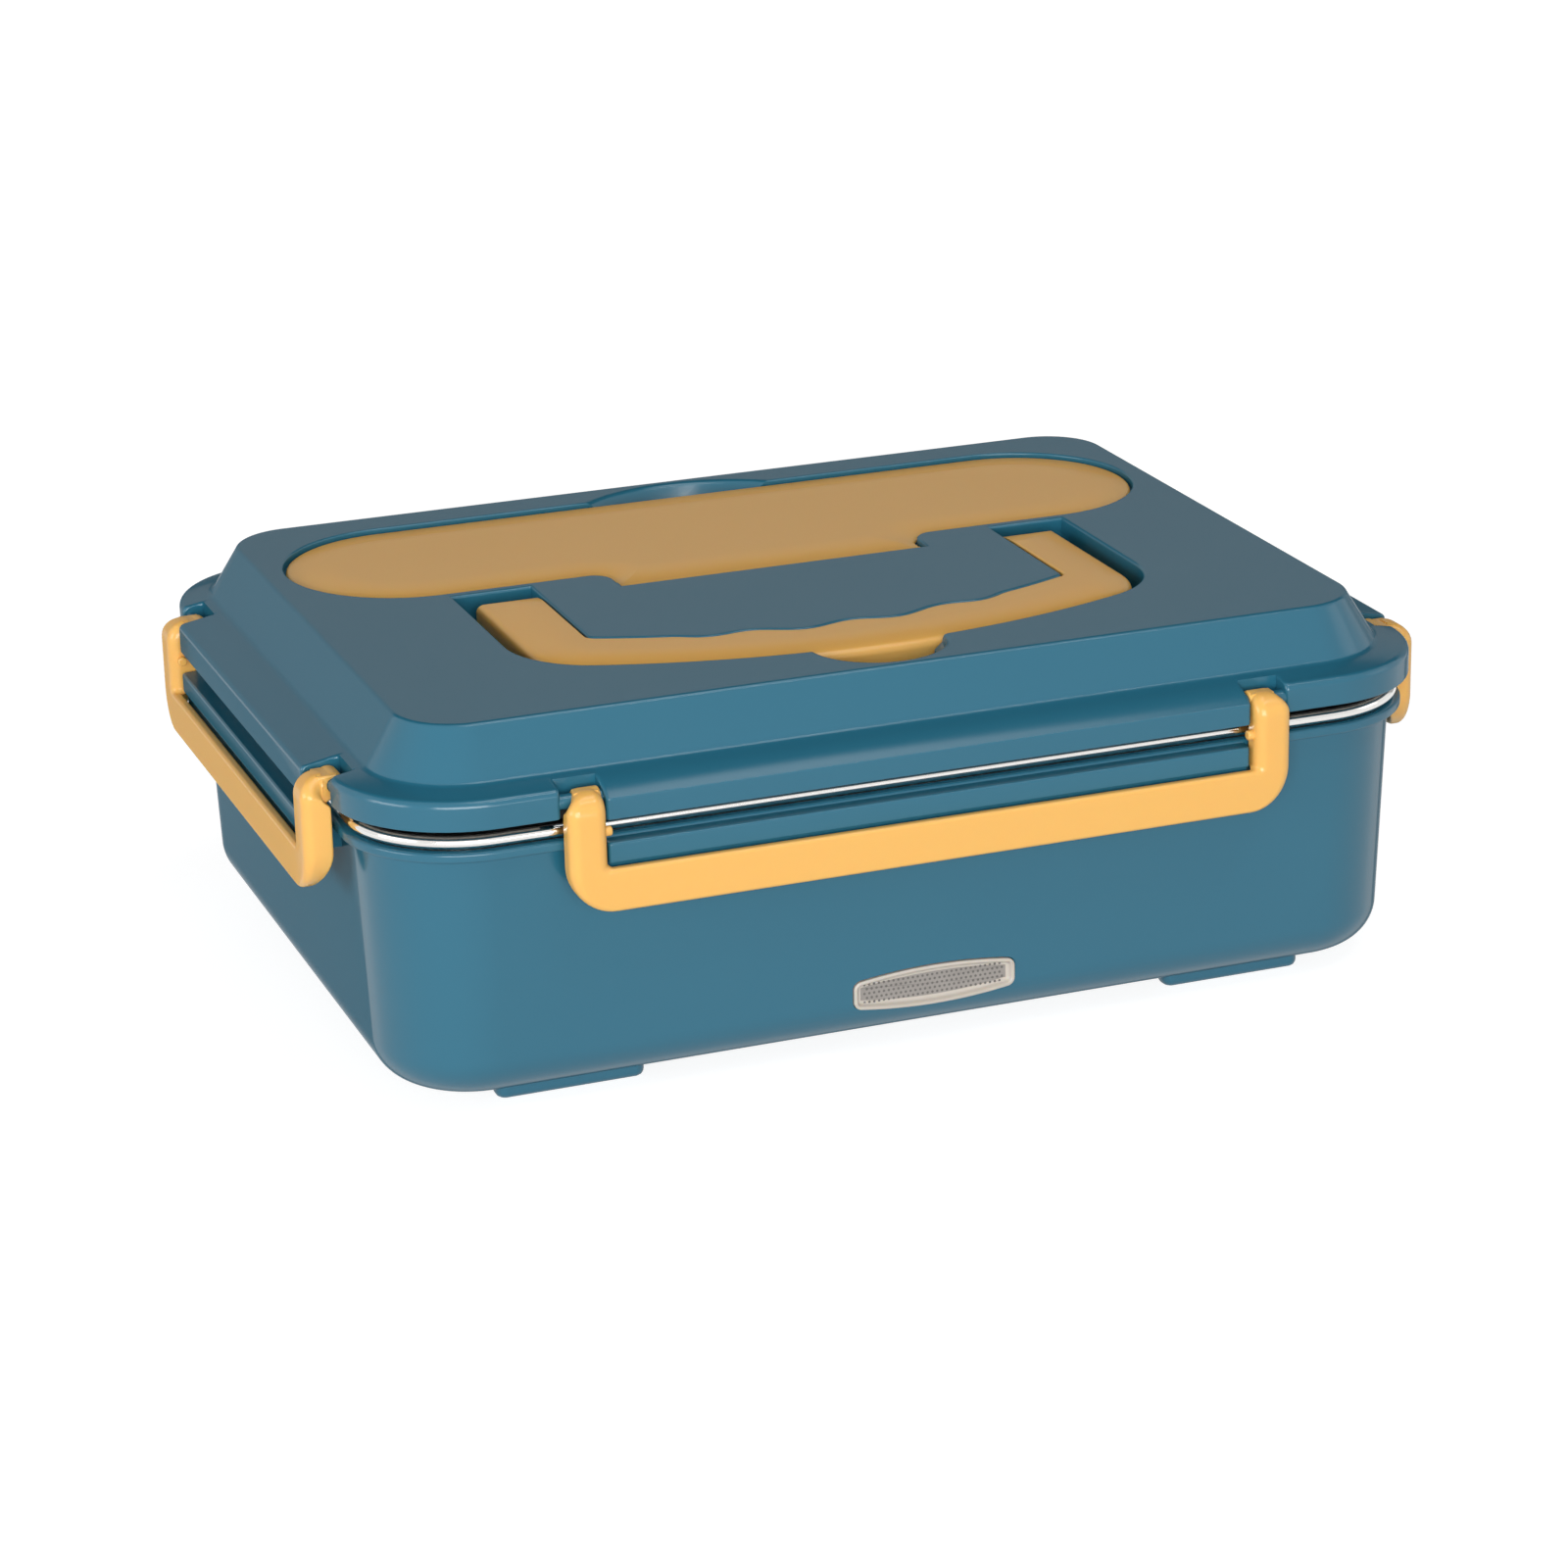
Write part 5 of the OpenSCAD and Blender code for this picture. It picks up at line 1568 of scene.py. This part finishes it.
    def handle(self) -> None:
        """The carry handle: a U with rounded hinge ends and finger waves."""
        top, foot = self.top_z, self.handle_foot
        levels = plate_levels(foot, top, 0.8, 0)[:-1] + arc(-1.9, top - 2.7, 1.9, 0, 79, 8)
        levels += crown_levels(top, 0.8, 1.5, 9, (2.2, 3, 4, 5, 6, 7, 8, 9, 10.5))
        plan = self.u_plan(self.handle_half, self.handle_bow, 16, 3.6)
        made = stack(plan, levels).piece("carry_handle")
        hole = [(0.5, foot - 1), (0.5, foot - 0.02), (0.15, foot + 0.1)]
        hole += pocket_levels(foot + 0.35, top, 0, 0.45)
        combine(made, Combine.CUT, stack(self.island_plan(0, 10), hole))
        # The arms' ends are round about their hinge
        side = [(-70, top + 1), (-70, foot - 1), (0, foot - 1), (0, foot)]
        side += arc(0, foot + 3.6, 3.6, -90, 90, 24) + [(0, top + 1)]
        combine(made, Combine.MEET, along_x(side, -70, 70))
        under = block((-30, 30), (-53.2, -48.2), (foot - 1, top - 2.5))
        bores = twin_bores(disc(1.58, 40), 45, 60.3, 0, self.handle_hinge_z)
        combine(made, Combine.CUT, under, *bores)
        dress(made, Slot.AMBER_PLASTIC, "handle", "handle")

    def cover(self) -> None:
        """The cutlery cover with its hinge barrel and stiffening rib."""
        top = self.top_z
        levels = [(-0.5, 76.9), (-0.5, 77.3), (-0.1, 77.4)] + arc(-0.8, top - 1.7, 0.8, 0, 80, 7)
        levels += crown_levels(top, 0.95, 0.6, 11, (1.2, 2, 3, 4, 5, 6, 7, 8, 9, 10, 11.6))
        plate = Shape().loft([[(x, y, z) for x, y in self.cover_plan(grow)] for grow, z in levels])
        made = plate.piece("cutlery_cover_moulding")
        barrel = along_x(disc(1.6, 64), -34.3, 34.3, 0.4).moved(0, self.hinge_y, self.hinge_z)
        rib = block((-60, 60), (36.1, 37.7), (75.3, 77.6))
        combine(made, Combine.UNION, barrel, rib)
        combine(made, Combine.CUT, *twin_bores(disc(0.98, 32), 29, 36, self.hinge_y, self.hinge_z))
        dress(made, Slot.AMBER_PLASTIC, "cutlery_cover", "cutlery_cover")

    def build(self, grid: CopyGrid) -> None:
        """Builds every piece of the lid.

        Args:
            grid: The node tree that sets out copies.
        """
        self.shell()
        self.shafts(grid)
        self.panel()
        self.seal()
        self.plug()
        self.handle()
        self.cover()


# ---- CAD nodes that stay ----


@dataclass
class InnerParts:
    """The heater's parts and the hinge pins, which keep their CAD meshes."""

    finishes: dict[str, Slot] = field(default_factory=lambda: {
        "heating_plate": Slot.CAST_ALUMINIUM, "ptc_heater": Slot.CAST_ALUMINIUM,
        "heater_clamp": Slot.SPRING_STEEL, "clamp_screws": Slot.SCREW_STEEL,
        "thermal_cutoff": Slot.CERAMIC_FUSE, "indicator_board": Slot.CIRCUIT_BOARD,
        "indicator_led": Slot.LED_LENS, "heater_leads": Slot.LEAD_RUBBER,
        "handle_pins": Slot.SCREW_STEEL, "cover_hinge_pins": Slot.SCREW_STEEL})

    def build(self) -> None:
        """Gives each kept node its finish."""
        for name, slot in self.finishes.items():
            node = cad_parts[name]
            node.data.materials.clear()
            node.data.materials.append(slot.material())
            log.info("%s: CAD mesh kept", name)


# ---- The studio ----


@dataclass
class Studio:
    """A pale floor, soft lamps, a white surround and the camera."""

    lens_mm: float = 101.97
    eye_mm: Point = (-313.115, -847.138, 350.885)
    right: Point = (0.934878, -0.354292, -0.021918)
    up: Point = (0.138002, 0.305873, 0.942018)
    ahead: Point = (0.327045, 0.883696, -0.334849)
    surround: float = 0.16
    floor_glow: float = 0.85
    screen_turn: float = -20.3
    lamp_aim: Point = (0, 0, 40)

    def camera(self) -> None:
        """The camera, fitted to the box's straight edges."""
        data = bpy.data.cameras.new("studio_camera")
        data.lens, data.sensor_width = self.lens_mm, 36
        data.clip_start, data.clip_end = 0.05, 20
        made = linked(bpy.data.objects.new("studio_camera", data))
        columns = zip(self.right, self.up, (-a for a in self.ahead))
        turned = Matrix([list(c) for c in columns]).to_4x4()
        made.matrix_world = Matrix.Translation(Vector(self.eye_mm) * MM) @ turned
        bpy.context.scene.camera = made

    def world(self) -> None:
        """A plain surround for light, seen as white by the camera and by gloss."""
        world = bpy.data.worlds.new("studio_surround")
        world.use_nodes = True
        bpy.context.scene.world = world
        tree = world.node_tree
        tree.nodes.clear()
        seen = self.seen(tree)
        strength = add(tree, "ShaderNodeMix", {"Factor": seen}, {2: self.surround, 3: 1.0})
        back = add(tree, "ShaderNodeBackground", {"Strength": strength.outputs[0]},
                   {"Color": (1.0, 1.0, 1.0, 1.0)})
        add(tree, "ShaderNodeOutputWorld", {"Surface": back.outputs[0]})

    def seen(self, tree: bpy.types.NodeTree) -> bpy.types.NodeSocket:
        """One for rays from the camera and from gloss or glass, and zero for light.

        Args:
            tree: The node tree that the test is added to.

        Returns:
            The socket that holds it.
        """
        path = add(tree, "ShaderNodeLightPath").outputs
        first = add(tree, "ShaderNodeMath", {0: path["Is Camera Ray"], 1: path["Is Glossy Ray"]},
                    operation="ADD")
        return add(tree, "ShaderNodeMath", {0: first.outputs[0], 1: path["Is Transmission Ray"]},
                   operation="ADD", use_clamp=True).outputs[0]

    def floor(self) -> None:
        """A pale floor that keeps the box's shadow."""
        shape = Shape()
        side = 6000
        shape.faces.append(tuple(shape.ring([(-side, -side, 0), (side, -side, 0), (side, side, 0),
                                             (-side, side, 0)])))
        made = shape.piece("studio_floor")
        material = self.paper("matt_white_paper", "#A0A0A0", 0.9)
        tree = material.node_tree
        level = add(tree, "ShaderNodeMath", {0: self.seen(tree)}, {1: self.floor_glow},
                    operation="MULTIPLY")
        glow = add(tree, "ShaderNodeEmission", {"Strength": level.outputs[0]})
        both = add(tree, "ShaderNodeAddShader",
                   {0: tree.nodes["Principled BSDF"].outputs[0], 1: glow.outputs[0]})
        tree.links.new(both.outputs[0], tree.nodes["Material Output"].inputs["Surface"])
        made.data.materials.append(material)

    def paper(self, name: str, colour: str, roughness: float, glow: float = 0) -> bpy.types.Material:
        """A plain material for the studio.

        Args:
            name: The material's name.
            colour: Its colour, as sRGB hex.
            roughness: Its roughness.
            glow: Strength of the white light it gives off.

        Returns:
            The material.
        """
        material = bpy.data.materials.new(name)
        material.use_nodes = True
        inputs = material.node_tree.nodes["Principled BSDF"].inputs
        inputs["Base Color"].default_value = linear(colour)
        inputs["Roughness"].default_value = roughness
        if glow:
            inputs["Emission Color"].default_value = (1.0, 1.0, 1.0, 1.0)
            inputs["Emission Strength"].default_value = glow
        return material

    def screen(self, name: str, ends: Pair, line: Outline, material: bpy.types.Material) -> None:
        """A sheet behind the box, square to the camera and not seen by it.

        Args:
            name: The sheet's name.
            ends: Where it begins and ends along X, before it is turned.
            line: Its line in Y and Z, from the foot up.
            material: Its material.
        """
        sheet = Shape()
        left, right = (sheet.ring([(x, y, z) for y, z in line]) for x in ends)
        sheet.bridge(left, right, False)
        made = sheet.placed(Matrix.Rotation(math.radians(self.screen_turn), 4, "Z")).piece(name)
        made.data.materials.append(material)
        made.visible_camera = False

    def screens(self) -> None:
        """A dark cloth that keeps glare off the top, and a backdrop that level faces mirror."""
        self.screen("studio_flag", (-1600, 1600), [(1300, 800), (950, 1800), (200, 2300)],
                    self.paper("black_cloth", "#303030", 1.0))
        self.screen("studio_backdrop", (-1900, 1600), [(1310, 4), (1310, 800)],
                    self.paper("grey_backdrop_paper", "#808080", 1.0, 0.33))

    def lamp(self, name: str, place: Point, size: Pair, watts: float, shown: bool = True) -> None:
        """A soft rectangular lamp.

        Args:
            name: The lamp's name.
            place: Its middle, in millimetres.
            size: Its width and height, in millimetres.
            watts: Its power.
            shown: Whether gloss and the camera show it.
        """
        data = bpy.data.lights.new(name, "AREA")
        data.shape = "RECTANGLE"
        data.size, data.size_y = size[0] * MM, size[1] * MM
        data.energy = watts
        made = linked(bpy.data.objects.new(name, data))
        made.visible_glossy = made.visible_camera = shown
        made.location = Vector(place) * MM
        heading = Vector(self.lamp_aim) - Vector(place)
        made.rotation_euler = heading.to_track_quat("-Z", "Y").to_euler()

    def build(self) -> None:
        """Sets up the studio."""
        self.camera()
        self.world()
        self.floor()
        self.screens()
        self.lamp("front_softbox", (-500, -1500, 420), (1200, 600), 16.5)
        self.lamp("low_softbox", (-300, -1500, 120), (1400, 200), 4.5)
        self.lamp("side_softbox", (-1500, -300, 420), (900, 600), 7.8)
        self.lamp("right_softbox", (1400, -500, 500), (600, 600), 0.8)
        self.lamp("high_strip", (450, -800, 1600), (900, 30), 2.5)
        self.lamp("top_softbox", (200, -200, 1300), (900, 300), 2.2)
        self.lamp("back_softbox", (430, 1150, 110), (1400, 160), 4.0, shown=False)
        bpy.context.scene.view_settings.view_transform = "Standard"


# ---- Everything in order ----


def main() -> None:
    """Builds the lunch box, dresses it and sets up the studio."""
    logging.basicConfig(level=logging.INFO, format="%(name)s: %(message)s")
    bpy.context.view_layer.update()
    grid = CopyGrid()
    Base().build(grid)
    Container().build()
    Lid().build(grid)
    for side, node in enumerate(("latch_back", "latch_left", "latch_front", "latch_right")):
        Latch(node, side).build()
    InnerParts().build()
    Studio().build()


if __name__ == "__main__":
    main()
